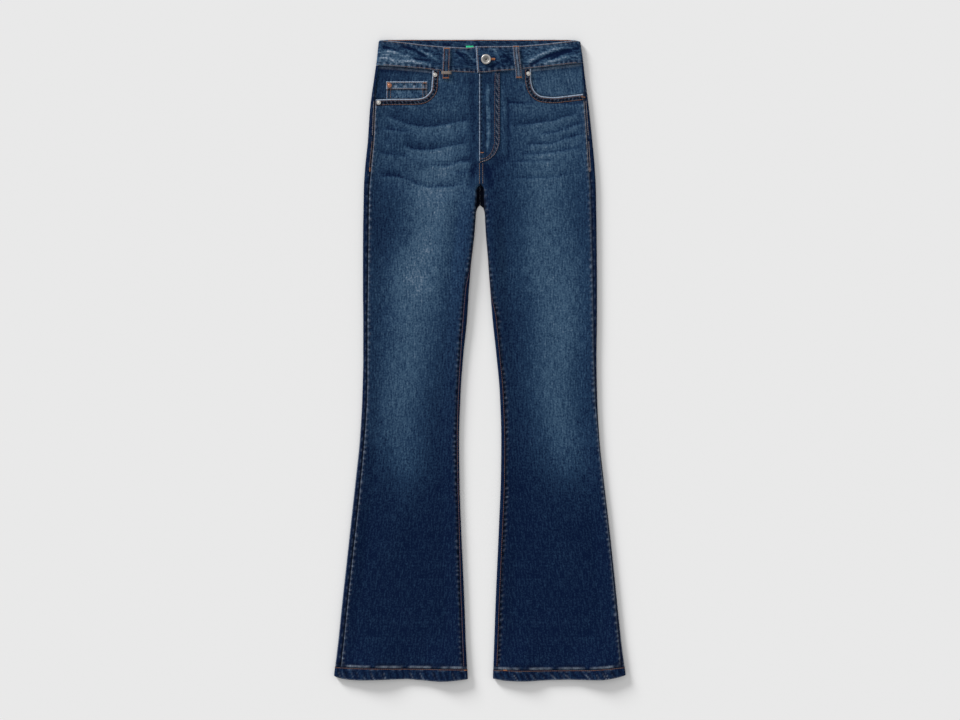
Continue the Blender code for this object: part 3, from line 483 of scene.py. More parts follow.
@dataclass
class Leg:
    """One side of the garment: its skin, seams, creases and wash.

    A point of the skin is given by its height y and the length `way` round the section, which is 0 at the
    outer fold's edge, grows over the upper layer and falls under the lower one.
    """

    side: Side
    curves: dict[str, Curve] = field(init=False)
    wash: dict[str, Curve] = field(init=False)

    def __post_init__(self) -> None:
        """Read the tables into curves."""
        heights = [row.y for row in SECTIONS]
        names = ("outer", "inner", "outseam", "inseam", "puff_outer", "puff_inner", "middle")
        columns = zip(*(row.of(self.side) for row in SECTIONS))
        self.curves = {name: Curve(heights, column) for name, column in zip(names, columns)}
        fades = FADES[self.side]
        levels = [row.y for row in fades]
        self.wash = {name: Curve(levels, [getattr(row, name) for row in fades])
                     for name in ("centre", "width", "peak", "outer", "inner")}

    @property
    def sign(self) -> int:
        """The direction of this side along X."""
        return self.side.value

    def read(self, name: str, y: Any) -> Array:
        """A column of the section table at a height."""
        return self.curves[name](y)

    def quarter(self, y: Any, fold: str = "outer") -> Array:
        """Length round a quarter of a fold."""
        return math.pi * self.read("puff_" + fold, y) / 4.0

    def inner_start(self, y: Any) -> Array:
        """Length from the outer fold's edge over to the start of the inner fold."""
        return self.reach(y) - self.read("inner", y) - self.read("puff_inner", y) / 2

    def reach(self, y: Any) -> Array:
        """Length round from the outer fold's edge to the centre line, for a layer that runs flat to it."""
        return self.quarter(y) + self.read("outer", y) - self.read("puff_outer", y) / 2

    def way_at(self, x: Any, y: Any) -> Array:
        """Length round the section to a plan point of the upper layer.

        Args:
            x: plan position across, with its sign.
            y: height.

        Returns:
            The length round from the outer fold's edge.
        """
        return self.reach(y) - self.sign * np.asarray(x)

    def seam_length(self, seam: str, fold: str, y: Any) -> Array:
        """Length up from a fold's edge to the seam beside it."""
        inset = self.read(seam, y)
        radius = self.read("puff_" + fold, y) / 2
        turned = radius * np.arccos(np.clip(1 - inset / radius, -1, 1))
        over = math.pi * radius / 2 + inset - radius
        return np.where(inset >= radius, over, np.where(inset >= 0, turned, inset))

    def outseam_way(self, y: Any) -> Array:
        """Length round to the outseam."""
        return self.seam_length("outseam", "outer", y)

    def turn(self, y: Any, upper: Any) -> Array:
        """How far a layer turns at its inner fold: 0 runs on to the centre, 1 turns right round."""
        front = smooth((CROTCH_Y + CROTCH_TURN - np.asarray(y)) / (2 * CROTCH_TURN))
        back = smooth((FORK_Y + FORK_TURN - np.asarray(y)) / (2 * FORK_TURN))
        return np.where(upper, front, back)

    def front_end(self, y: Any) -> Array:
        """Length of the front panel past the start of its inner fold."""
        radius = self.read("puff_inner", y) / 2
        puff = 2 * radius
        to_centre = self.read("inner", y) + radius - self.sign * FRONT_CENTRE(y) - SEAM_GAP / 2
        turn = self.turn(y, True)
        wrap = math.pi * radius / 2 - self.seam_length("inseam", "inner", y) - SEAM_GAP / 2
        bend = radius / np.maximum(turn, 1e-3)
        low = SHELL + SEAM_GAP
        cosine = (low + bend - puff) / (bend - SHELL)
        cosine = np.where(cosine < 0, (low + bend - puff) / bend, cosine)
        clear = bend * np.arccos(np.clip(cosine, -1.0, 1.0))
        bent = np.minimum(to_centre, clear)
        return np.where(turn < 0.02, to_centre, np.where(turn > 0.98, np.minimum(bent, wrap), bent))

    def back_end(self, y: Any) -> Array:
        """Length of the back panel past the start of its inner fold."""
        radius = self.read("puff_inner", y) / 2
        to_centre = self.read("inner", y) + radius - SEAM_GAP / 2
        wrap = math.pi * radius / 2 + self.seam_length("inseam", "inner", y) - SEAM_GAP / 2
        return mix(to_centre, wrap, smooth(self.turn(y, False) * 2.5))

    def seam_distances(self, x: Any, y: Any) -> tuple[Array, Array]:
        """Plan distance of a point of the upper layer in from the outseam and from the inseam.

        Args:
            x: plan position across, positive on this side.
            y: height.

        Returns:
            The two distances, positive on the front panel.
        """
        out = self.read("outer", y) - self.read("outseam", y) - x
        inn = x - self.read("inner", y) - self.read("inseam", y)
        return out, np.where(np.asarray(y) < CROTCH_Y - 6, inn, FAR)

    def ripple(self, y: Any, distance: Any, pitch: float, seed: float, skew: float) -> tuple[Array, Array]:
        """The puckers that a seam draws up beside it.

        Args:
            y: position along the seam.
            distance: distance from the seam, positive on the front panel.
            pitch: mean spacing of the puckers.
            seed: changes where they fall.
            skew: how far they lean as they run out.

        Returns:
            How high the pucker stands, -1 to 1, and how strong it is, 0 to 1.
        """
        y = np.asarray(y, dtype=float)
        phase = y / pitch + 0.55 * noise1(y / 41.0, seed) + 0.32 * noise1(y / 14.0, seed + 5)
        crest = np.cos(2 * math.pi * phase + distance * skew)
        strength = 0.62 + 0.38 * noise1(y / 33.0, seed + 9)
        reach = 4.6 + 2.4 * noise1(y / 27.0, seed + 2)
        inside = np.exp(-(np.maximum(distance, 0.0) / reach) ** 2)
        outside = np.exp(-(np.maximum(-distance, 0.0) / 1.2) ** 2)
        return crest, strength * np.where(np.asarray(distance) >= 0, inside, outside)

    def outseam_pucker(self, y: Any, distance: Any) -> tuple[Array, Array]:
        """The puckers beside the outseam."""
        return self.ripple(y, distance, 10.5, 3.0 + self.sign, 0.10)

    def inseam_pucker(self, y: Any, distance: Any) -> tuple[Array, Array]:
        """The puckers beside the inseam."""
        return self.ripple(y, distance, 9.6, 7.0 + self.sign, -0.14)

    def relief(self, x: Any, y: Any) -> Array:
        """Height that creases, puckers and seams add to the upper layer.

        Args:
            x: plan position across, with its sign.
            y: height.

        Returns:
            The added height.
        """
        x, y = np.broadcast_arrays(np.asarray(x, dtype=float), np.asarray(y, dtype=float))
        total = np.zeros(x.shape)
        for crease in CREASES:
            near = crease.away(x, y)
            total = total + crease.height * bell(near / crease.reach)
        for whisker in WHISKERS:
            total = total + whisker.relief(x, y)
        across = self.sign * x
        from_outer = self.read("outer", y) - self.read("puff_outer", y) / 2 - across
        from_inner = across - self.read("inner", y) - self.read("puff_inner", y) / 2
        total = total * smooth(from_outer / 14.0) * np.where(y > CROTCH_Y, 1.0, smooth(from_inner / 14.0))
        out, inn = self.seam_distances(across, y)
        sewn = drawn_up(y)
        crest, strength = self.outseam_pucker(y, out)
        total = total + sewn * (0.42 * crest * strength - 0.75 * bell(out / 1.3))
        total = total + 0.45 * bell((out - 3.0) / 4.0) * smooth((y - 218.0) / 6.0) * sewn
        crest, strength = self.inseam_pucker(y, inn)
        total = total + sewn * (0.60 * crest * strength - 0.75 * bell(inn / 1.3))
        total = total + 0.30 * bell((inn + 2.2) / 2.4) * sewn
        return total

    def face_height(self, x: Any, y: Any) -> Array:
        """Height of the upper face at a distance x in from the folds, positive on this side."""
        outer, inner = self.read("outer", y), self.read("inner", y)
        puff_o, puff_i, middle = (self.read(n, y) for n in ("puff_outer", "puff_inner", "middle"))
        reach = np.minimum(PUFF_REACH, 0.42 * (outer - inner))
        from_outer = outer - puff_o / 2 - x
        from_inner = x - inner - puff_i / 2
        total = middle + (puff_o - middle) * bell(np.maximum(from_outer, 0) / reach)
        total = total + (puff_i - middle) * bell(np.maximum(from_inner, 0) / reach)
        return total + self.relief(self.sign * x, y)

    def skin(self, way: Any, y: Any, lift: Any = 0.0) -> Array:
        """Points of the outer face, moved out by `lift`.

        Args:
            way: length round the section.
            y: height.
            lift: how far to stand off the face.

        Returns:
            An array of points, with X, Y and Z last.
        """
        way, y, lift = np.broadcast_arrays(*(np.asarray(v, dtype=float) for v in (way, y, lift)))
        outer, inner = self.read("outer", y), self.read("inner", y)
        ro, ri = self.read("puff_outer", y) / 2, self.read("puff_inner", y) / 2
        upper = way >= 0
        start, stop = outer - ro, inner + ri
        run = np.abs(way) - math.pi * ro / 2
        past = run - (start - stop)
        turn = self.turn(y, upper)
        bend = ri / np.maximum(turn, 1e-3)
        angle = np.clip(past / bend, -1.0, 4.0)
        turns = turn >= 0.02
        round_inner = (past > 0) & turns & (angle <= math.pi)
        gone_round = (past > 0) & turns & (angle > math.pi)
        flat_x = np.where(gone_round, stop + past - math.pi * bend, start - run)
        on_top = np.where(gone_round, ~upper, upper)
        face = self.face_height(flat_x, y)
        sunk = under_rise(self.sign * flat_x, y)
        flat_z = np.where(on_top, face + lift, sunk - lift)
        a = way / np.maximum(ro, 0.1)
        fold_x = start + (ro + lift) * np.cos(a)
        fold_z = ro + (ro + lift) * np.sin(a)
        turn_x = stop - (bend + lift) * np.sin(angle)
        top_z = 2 * ri - bend + (bend + lift) * np.cos(angle)
        turn_z = np.where(upper, top_z, bend - (bend + lift) * np.cos(angle))
        in_fold = run < 0
        x = np.where(in_fold, fold_x, np.where(round_inner, turn_x, flat_x))
        z = np.where(in_fold, fold_z, np.where(round_inner, turn_z, flat_z))
        level = held(np.abs(np.where(in_fold, np.sin(a), np.cos(angle))))
        z = z + np.where(in_fold | round_inner, self.fold_relief(way, y) * level, 0.0)
        x = self.sign * x
        return joined(x, y, z + rise_off_floor(x, y))

    def fold_relief(self, way: Array, y: Array) -> Array:
        """Seam relief that is carried on round a fold."""
        x = self.reach(y) - np.abs(way)
        crest, strength = self.outseam_pucker(y, way - self.outseam_way(y))
        near_outer = x > self.read("outer", y) - PUFF_REACH
        return np.where(near_outer & (way > 0), drawn_up(y) * 0.35 * crest * strength, 0.0)

    def on_top(self, way: Array, y: Array) -> Array:
        """Where a point of the skin lies: 0 underneath, 1 on the upper face and between them in a fold."""
        bare = self.skin(way, y)
        return smooth((bare[..., 2] - rise_off_floor(bare[..., 0], y)) / 6.0)

    def unwrap(self, points: Array) -> Array:
        """Length round the section of points that lie near the upper face.

        Args:
            points: points in millimetres.

        Returns:
            Their lengths round from the outer fold's edge.
        """
        y = points[:, 1]
        x = self.sign * points[:, 0]
        z = points[:, 2] - rise_off_floor(points[:, 0], y)
        ro, ri = self.read("puff_outer", y) / 2, self.read("puff_inner", y) / 2
        start, stop = self.read("outer", y) - ro, self.read("inner", y) + ri
        flat = math.pi * ro / 2 + start - x
        outer = ro * np.arctan2(z - ro, np.maximum(x - start, 1e-3))
        inner = self.inner_start(y) + ri * np.arctan2(np.maximum(stop - x, 1e-3), z - ri)
        wrapped = (x < stop) & (y < CROTCH_Y)
        return np.where(x > start, outer, np.where(wrapped, inner, flat))

    def marks(self, way: Any, y: Any) -> Marks:
        """The wash and wear of the leg panels, and the shade painted on them.

        Args:
            way: length round the section.
            y: height.

        Returns:
            The marks at each point.
        """
        way, y = np.broadcast_arrays(np.asarray(way, dtype=float), np.asarray(y, dtype=float))
        x = self.reach(y) - np.abs(way)
        wash = {name: curve(y) for name, curve in self.wash.items()}
        off = x - np.abs(wash["centre"])
        band = np.exp(-(off / wash["width"]) ** 2)
        ground = mix(wash["inner"], wash["outer"], smooth(off / 60.0 + 0.5))
        fade = ground + (wash["peak"] - ground) * band
        out, inn = self.seam_distances(x, y)
        plan = self.sign * x
        over = np.where(way > 0, 1.0, 0.3)
        # crease and whisker fades: paler ridges are wear, darker troughs are painted shade
        for crease in CREASES:
            if crease.fade:
                fade = fade + over * crease.fade * bell(crease.away(plan, y) / crease.reach)
        for whisker in WHISKERS:
            fade = fade + over * whisker.fade(plan, y)
        sewn = drawn_up(y)
        past = smooth((-out) / 1.2) + smooth((-inn) / 1.2)
        fade = fade * (1.0 - 0.85 * held(past)) + 0.01
        crest_o, strong_o = self.outseam_pucker(y, out)
        crest_i, strong_i = self.inseam_pucker(y, inn)
        speck = noise1(y / 2.3 + way * 0.9, 4.0)
        broken = noise1(y / 3.1, 5.0 + self.sign)
        wear = sewn * (0.42 * strong_o * held(crest_o) ** 2 * bell((out - 2.6) / 4.0)
                       + 0.50 * strong_i * held(crest_i + 0.3 * speck) ** 3 * bell((inn - 3.6) / 5.0))
        wear = wear + sewn * 0.34 * bell((out - 0.6) / 1.3) * (0.7 + 0.3 * noise1(y / 6.0, 2.0))
        wear = wear + sewn * 0.14 * bell((out + 3.6) / 2.6) * held(broken)
        inner_edge = self.inner_start(y) + 2 * self.quarter(y, "inner")
        # edge: painted rim highlight, a pale line along both fold edges of the lower legs, added to the wear
        edge = bell((way - 1.5) / 2.2) + bell((way - inner_edge + 3.5) / 2.2)
        wear = wear + 0.26 * edge * smooth((-60.0 - y) / 80.0)
        # painted shade: dark beside the outseam and inseam, in the pucker troughs and on the strip outside
        # the outseam
        shade = sewn * (0.75 * bell((out + 1.6) / 1.6) + 0.90 * bell((inn + 2.4) / 2.6)
                        + 0.55 * bell((inn - 1.6) / 2.6)
                        + 0.95 * strong_i * held(-crest_i - 0.3 * speck) * bell((inn - 3.0) / 7.0)
                        + 0.65 * strong_o * held(-crest_o) * bell((out - 2.4) / 5.0)
                        + 0.70 * bell((out + 3.6) / 3.2) * held(-broken))
        above = y - HEM_SEAM(plan)
        ledge = bell((above - 1.6) / 2.5) * held(0.50 + 0.9 * noise1(way / 9.0, 6.0))
        wear = wear + 0.90 * ledge * over
        shade = shade + 0.45 * bell((above - 6.0) / 4.5) * held(0.5 + noise1(way / 13.0, 8.0))
        # seat: painted shade on the lower layer between the legs, just below the crotch
        seat = smooth((30.0 - x) / 18.0) * smooth((318.0 - y) / 26.0) * smooth((y - 226.0) / 30.0)
        shade = shade + np.where(way < 0, seat, 0.0)
        return Marks(np.clip(fade, 0, 1.2), held(wear), held(shade))


def yoke_seam_y(x: Any) -> Array:
    """Height of the yoke seam under the seat: lowest at the centre back, level at the sides."""
    return YOKE_SIDE_Y + (YOKE_CENTRE_Y - YOKE_SIDE_Y) * smooth(1.0 - np.abs(x) / YOKE_HALF_WIDTH)


def drawn_up(y: Any) -> Array:
    """How strongly the seams pucker the cloth at a height: fully between the pockets and the hems."""
    return smooth((y + 524.0) / 12.0) * smooth((470.0 - y) / 12.0)


def rise_off_floor(x: Any, y: Any) -> Array:
    """How far the flared hems lift off the surface between the places where they touch it."""
    x, y = np.asarray(x, dtype=float), np.asarray(y, dtype=float)
    wave = sum(share * bell((x - at) / reach) for at, reach, share in HEM_WAVES)
    return HEM_LIFT * wave * smooth((-430.0 - y) / 112.0) ** 1.5


def outline_distance(outline: Sequence[Point], x: Array, y: Array, closed: bool = True) -> Array:
    """Distance to an outline, negative inside a closed one.

    Args:
        outline: corner points.
        x: plan positions across.
        y: plan positions along.
        closed: whether the last corner joins the first.

    Returns:
        Distances in millimetres.
    """
    best = np.full(np.shape(x), 1e9)
    inside = np.zeros(np.shape(x), dtype=bool)
    count = len(outline)
    for i in range(count if closed else count - 1):
        ax, ay = outline[i]
        bx, by = outline[(i + 1) % count]
        ex, ey = bx - ax, by - ay
        t = held(((x - ax) * ex + (y - ay) * ey) / (ex * ex + ey * ey))
        best = np.minimum(best, (x - ax - t * ex) ** 2 + (y - ay - t * ey) ** 2)
        crosses = (ay > y) != (by > y)
        slope = np.where(ey == 0, 1e-9, ey)
        inside ^= crosses & (x < ex * (y - ay) / slope + ax)
    best = np.sqrt(best)
    return np.where(inside, -best, best) if closed else best


def under_rise(x: Any, y: Any) -> Array:
    """How far the lower layer lifts to make room for the back pockets and the back belt loops."""
    x, y = np.broadcast_arrays(np.asarray(x, dtype=float), np.asarray(y, dtype=float))
    away = outline_distance(BACK_POCKET, np.abs(x), y)
    total = PATCH_ROOM * (1.0 - smooth(away / 14.0))
    for at in BACK_LOOP_X:
        over_loop = 1.0 - smooth((np.abs(x - at) - 7.0) / 10.0)
        total = np.maximum(total, PATCH_ROOM * over_loop * smooth((y - 480.0) / 14.0))
    return total


# ------------------------------------------------------------------ meshes

def to_mesh(name: str, points: Array, faces: Sequence[Sequence[int]]) -> bpy.types.Object:
    """Make an object of points in millimetres, in the frame's own origin.

    Args:
        name: the piece's name.
        points: its points.
        faces: indices of each face.

    Returns:
        The object, linked to the scene and shaded smooth.
    """
    mesh = bpy.data.meshes.new(name)
    moved = (np.asarray(points) + (SHIFT_X, SHIFT_Y, 0.0)) * MM
    mesh.from_pydata(moved.tolist(), [], [tuple(f) for f in faces])
    mesh.update()
    obj = bpy.data.objects.new(name, mesh)
    bpy.context.scene.collection.objects.link(obj)
    mesh.shade_smooth()
    return obj


def points_of(obj: bpy.types.Object) -> Array:
    """An object's points, in millimetres from the garment's own centre line."""
    flat = np.empty(len(obj.data.vertices) * 3)
    obj.data.vertices.foreach_get("co", flat)
    return flat.reshape(-1, 3) / MM - (SHIFT_X, SHIFT_Y, 0.0)


def volume_of(points: Array, faces: Sequence[Sequence[int]]) -> float:
    """Signed volume of a closed mesh of quads."""
    quads = np.asarray(faces)
    a, b, c, d = (points[quads[:, k]] for k in range(4))
    first = np.einsum("ij,ij->i", a, np.cross(b, c)).sum()
    return float(first + np.einsum("ij,ij->i", a, np.cross(c, d)).sum())


def shell(name: str, outer: Array, inner: Array, ring: bool = False) -> bpy.types.Object:
    """A wall of cloth between two grids of points.

    Args:
        name: the piece's name.
        outer: points of the outer face, as rows of columns.
        inner: points of the inner face, in the same layout.
        ring: whether the last column joins the first.

    Returns:
        The closed wall, facing out.
    """
    rows, columns = outer.shape[:2]
    count = rows * columns
    points = np.concatenate([outer.reshape(-1, 3), inner.reshape(-1, 3)])
    index = np.arange(count).reshape(rows, columns)
    right = np.roll(index, -1, axis=1)
    index_a, right_a = (index, right) if ring else (index[:, :-1], right[:, :-1])
    front = joined(index_a[:-1], right_a[:-1], right_a[1:], index_a[1:]).reshape(-1, 4)
    back = front[:, ::-1] + count
    rims = [joined(index_a[0] + count, right_a[0] + count, right_a[0], index_a[0]),
            joined(index_a[-1], right_a[-1], right_a[-1] + count, index_a[-1] + count)]
    if not ring:
        left, last = index[:, 0], index[:, -1]
        rims.append(joined(left[:-1], left[1:], left[1:] + count, left[:-1] + count))
        rims.append(joined(last[:-1] + count, last[1:] + count, last[1:], last[:-1]))
    faces = np.concatenate([front, back] + rims)
    if volume_of(points, faces) < 0:
        faces = faces[:, ::-1]
    return to_mesh(name, points, faces)


def paint(obj: bpy.types.Object, marks: Marks, weave: Array) -> None:
    """Store what the denim's finish reads.

    Args:
        obj: the piece.
        marks: wash, wear and painted shade at each point, or for one face of a wall whose other face is
            alike.
        weave: cloth coordinates across and along, in millimetres.
    """
    count = len(obj.data.vertices)
    shape = np.shape(weave)[:-1]
    for name in ("fade", "wear", "shade"):
        values = np.broadcast_to(getattr(marks, name), shape).reshape(-1)
        values = np.tile(values, count // len(values))
        store = obj.data.attributes.new(name, "FLOAT", "POINT")
        store.data.foreach_set("value", values)
    flat = np.asarray(weave, dtype=float).reshape(-1, 2)
    flat = np.tile(flat, (count // len(flat), 1)) * MM
    store = obj.data.attributes.new("weave", "FLOAT_VECTOR", "POINT")
    store.data.foreach_set("vector", np.concatenate([flat, np.zeros((count, 1))], axis=1).reshape(-1))


def rounded(distance: Any, radius: float) -> Array:
    """How far a face drops near an edge, for an edge rounded to a radius."""
    near = np.clip(np.asarray(distance, dtype=float), 0.0, radius)
    return radius - np.sqrt(np.maximum(radius * radius - (radius - near) ** 2, 0.0))


CUT_FOOT, CUT_TOP = 3.4, 14.0       # a cut reaches through the upper layer and stops above the lower one


def cut_away(target: bpy.types.Object, outline: Sequence[Point]) -> None:
    """Cut an upright prism out of a piece.

    Args:
        target: the piece to cut.
        outline: the prism's corners in plan.
    """
    area = sum(a[0] * b[1] - b[0] * a[1] for a, b in zip(outline, list(outline[1:]) + [outline[0]]))
    order = list(outline) if area > 0 else list(outline)[::-1]
    count = len(order)
    points = [(x, y, z) for z in (CUT_FOOT, CUT_TOP) for x, y in order]
    faces: list[tuple[int, ...]] = [tuple(range(count - 1, -1, -1)), tuple(range(count, 2 * count))]
    faces += [(i, (i + 1) % count, count + (i + 1) % count, count + i) for i in range(count)]
    cutter = to_mesh("cutter", np.array(points), faces)
    step = target.modifiers.new("cut", "BOOLEAN")
    step.operation, step.solver, step.object = "DIFFERENCE", "EXACT", cutter
    with bpy.context.temp_override(object=target, active_object=target, selected_objects=[target]):
        bpy.ops.object.modifier_apply(modifier=step.name)
    bpy.data.objects.remove(cutter)


def along_line(line: Sequence[Point], step: float) -> Array:
    """Even points along a smooth line through corners.

    Args:
        line: corner points in plan.
        step: spacing.

    Returns:
        Points, as rows of x and y.
    """
    corners = np.asarray(line, dtype=float)
    run = run_along(corners)
    count = max(2, int(run[-1] / step) + 1)
    at = np.linspace(0.0, run[-1], count)
    return joined(Curve(run, corners[:, 0])(at), Curve(run, corners[:, 1])(at))


def offset_line(points: Array, distance: float) -> Array:
    """A line moved sideways, to its left when positive.

    Args:
        points: points in plan.
        distance: how far to move it.

    Returns:
        The moved points.
    """
    tangent = np.gradient(points, axis=0)
    tangent /= np.maximum(np.hypot(tangent[:, 0], tangent[:, 1]), 1e-9)[:, None]
    normal = joined(-tangent[:, 1], tangent[:, 0])
    return points + normal * distance


# ------------------------------------------------------------------ finishes

Colour = tuple[float, float, float, float]


def dye(red: float, green: float, blue: float) -> Colour:
    """A colour in display values of 0 to 255, as the linear values that a shader takes."""
    def linear(value: float) -> float:
        """One channel, linear."""
        v = value / 255.0
        return v / 12.92 if v <= 0.04045 else ((v + 0.055) / 1.055) ** 2.4
    return (linear(red), linear(green), linear(blue), 1.0)


class Wire:
    """One output of a node, which takes part in sums like a number."""

    def __init__(self, kit: "Kit", socket: Any) -> None:
        self.kit = kit
        self.socket = socket

    def _math(self, operation: str, *values: Any, clamp: bool = False) -> "Wire":
        """Add a Math node for one or two values."""
        return self.kit.node("ShaderNodeMath", {"operation": operation, "use_clamp": clamp},
                             dict(enumerate(values)))

    def __add__(self, other: Any) -> "Wire":
        """Add."""
        return self._math("ADD", self, other)

    def __radd__(self, other: Any) -> "Wire":
        """Add, the other way round."""
        return self._math("ADD", other, self)

    def __sub__(self, other: Any) -> "Wire":
        """Subtract."""
        return self._math("SUBTRACT", self, other)

    def __rsub__(self, other: Any) -> "Wire":
        """Subtract from a number."""
        return self._math("SUBTRACT", other, self)

    def __mul__(self, other: Any) -> "Wire":
        """Multiply."""
        return self._math("MULTIPLY", self, other)

    def __rmul__(self, other: Any) -> "Wire":
        """Multiply, the other way round."""
        return self._math("MULTIPLY", other, self)

    def held(self) -> "Wire":
        """The value, kept between 0 and 1."""
        return self._math("ADD", self, 0.0, clamp=True)

    def sine(self) -> "Wire":
        """The sine of the value."""
        return self._math("SINE", self)


class Kit:
    """Puts together the nodes of one material."""

    def __init__(self, name: str, **fixed: Any) -> None:
        """Start a material.

        Args:
            name: the material's name.
            fixed: values of the shader's own sockets, with _ for a space.
        """
        self.material = bpy.data.materials.new(name)
        self.material.use_nodes = True
        self.tree = self.material.node_tree
        self.shader = next(n for n in self.tree.nodes if n.type == "BSDF_PRINCIPLED")
        for key, value in fixed.items():
            self.shader.inputs[key.replace("_", " ")].default_value = value

    def node(self, kind: str, settings: dict[str, Any] | None = None, inputs: dict[Any, Any] | None = None,
             out: Any = 0) -> Wire:
        """Add a node.

        Args:
            kind: its type.
            settings: its settings, set first.
            inputs: values or wires for its sockets.
            out: which of its outputs to give back.

        Returns:
            That output.
        """
        made = self.tree.nodes.new(kind)
        for key, value in (settings or {}).items():
            setattr(made, key, value)
        for key, value in (inputs or {}).items():
            if isinstance(value, Wire):
                self.tree.links.new(value.socket, made.inputs[key])
            else:
                made.inputs[key].default_value = value
        return Wire(self, made.outputs[out])

    def stored(self, name: str, vector: bool = False) -> Wire:
        """A value or vector stored on the piece's points."""
        return self.node("ShaderNodeAttribute", {"attribute_name": name}, out="Vector" if vector else "Fac")

    def place(self) -> Wire:
        """The place on the piece, in metres."""
        return self.node("ShaderNodeTexCoord", out="Object")

    def scaled(self, vector: Wire, by: tuple[float, float, float]) -> Wire:
        """A vector times one number for each direction."""
        return self.node("ShaderNodeVectorMath", {"operation": "MULTIPLY"}, {0: vector, 1: by})

    def turned(self, vector: Wire, angle: float, by: tuple[float, float, float]) -> Wire:
        """A vector turned about Z, then times one number for each direction."""
        return self.node("ShaderNodeMapping", {}, {"Vector": self.node(
            "ShaderNodeMapping", {}, {"Vector": vector, "Rotation": (0.0, 0.0, angle)}), "Scale": by})

    def grain(self, vector: Wire, detail: float = 2.0) -> Wire:
        """Noise over a vector, about -1 to 1."""
        noise = self.node("ShaderNodeTexNoise", {}, {"Vector": vector, "Scale": 1.0, "Detail": detail})
        return (noise - 0.5) * 2.6

    def spots(self, fineness: float, detail: float = 2.0) -> Wire:
        """Noise over the piece, alike in every direction, about -1 to 1."""
        return self.grain(self.scaled(self.place(), (fineness, fineness, fineness)), detail)

    def part(self, vector: Wire, axis: int) -> Wire:
        """One coordinate of a vector: 0 for X, 1 for Y."""
        return self.node("ShaderNodeSeparateXYZ", {}, {0: vector}, out=axis)

    def blend(self, factor: Any, first: Any, second: Any) -> Wire:
        """A colour between two."""
        return self.node("ShaderNodeMix", {"data_type": "RGBA"}, {0: factor, 6: first, 7: second}, out=2)

    def feed(self, socket: str, wire: Wire) -> None:
        """Lead a wire into the shader."""
        self.tree.links.new(wire.socket, self.shader.inputs[socket])

    def bump(self, height: Wire, strength: float, depth: float) -> None:
        """Raise the surface by a height, in millimetres at full strength."""
        self.feed("Normal", self.node("ShaderNodeBump", {}, {"Height": height, "Strength": strength,
                                                             "Distance": depth * MM}))


@dataclass(frozen=True)
class Denim:
    """Indigo twill, washed from dark to pale blue-grey, rubbed in streaks where it is thick, and given
    painted shade.
    """

    name: str
    dark: Colour = dye(3, 19, 49)
    middle: Colour = dye(32, 56, 83)
    light: Colour = dye(64, 90, 114)
    pale: Colour = dye(150, 163, 180)
    # a near black: the colour of the painted shade
    deep: Colour = dye(2, 4, 14)
    grain: float = 1.0
    rub: float = 0.0
    lean: float = 0.45
    twill: float = 0.00095

    def make(self) -> bpy.types.Material:
        """Build the material."""
        kit = Kit(self.name, Roughness=0.95, Sheen_Weight=0.02, Sheen_Roughness=0.6, Specular_IOR_Level=0.03)
        cloth = kit.stored("weave", vector=True)
        fade = kit.stored("fade")
        slub = kit.grain(kit.scaled(cloth, (400.0, 62.0, 1.0)), 2.5)
        speck = kit.grain(kit.scaled(cloth, (340.0, 300.0, 1.0)), 3.0)
        fleck = kit.grain(kit.scaled(cloth, (560.0, 360.0, 1.0)), 1.0)
        cloud = kit.grain(kit.scaled(kit.place(), (60.0, 34.0, 60.0)), 3.0)
        fine = (fade * 0.30 + 0.30) * self.grain
        tone = fade + slub * fine + speck * fine * 1.1 + fleck * fine * 0.5 + cloud * (fade * 0.12 + 0.03)
        if self.rub:
            streak = kit.grain(kit.turned(kit.place(), self.lean, (70.0, 250.0, 70.0)), 4.0)
            patch = kit.grain(kit.turned(kit.place(), -self.lean, (150.0, 110.0, 150.0)), 3.0)
            tone = tone + streak * self.rub + patch * self.rub * 0.8
        colour = kit.blend((tone * 2.0).held(), self.dark, self.middle)
        colour = kit.blend((tone * 2.0 - 1.0).held(), colour, self.light)
        colour = kit.blend((tone * 0.9 - 0.95).held(), colour, self.pale)
        worn = (kit.stored("wear") * (1.0 + speck * 0.7 + fleck * 0.5)).held()
        colour = kit.blend(worn, colour, self.pale)
        # painted shade: the stored shade darkens the cloth toward a near black
        painted_shade = (kit.stored("shade") * (0.95 + speck * 0.5)).held()
        colour = kit.blend(painted_shade, colour, self.deep)
        kit.feed("Base Color", colour)
        twill = ((kit.part(cloth, 0) + kit.part(cloth, 1) * 0.55) * (2.0 * math.pi / self.twill)).sine()
        kit.bump(twill * 0.4 + slub * 0.8 + speck * 0.8, 0.6, 0.22)
        return kit.material


@dataclass(frozen=True)
class Thread:
    """Topstitching thread: worn pale at tone 0, brown at 1, fresh orange at 2."""

    name: str
    worn: Colour = dye(152, 144, 144)
    brown: Colour = dye(108, 80, 63)
    fresh: Colour = dye(186, 118, 72)
    soiled: Colour = dye(52, 48, 56)

    def make(self) -> bpy.types.Material:
        """Build the material."""
        kit = Kit(self.name, Roughness=0.8, Specular_IOR_Level=0.15)
        fleck = kit.spots(900.0, 1.0)
        tone = kit.stored("tone")
        colour = kit.blend((tone + fleck * 0.16).held(), self.worn, self.brown)
        colour = kit.blend((tone - 1.0).held(), colour, self.fresh)
        kit.feed("Base Color", kit.blend((0.20 - fleck * 0.22).held(), colour, self.soiled))
        kit.bump(fleck, 0.4, 0.08)
        return kit.material


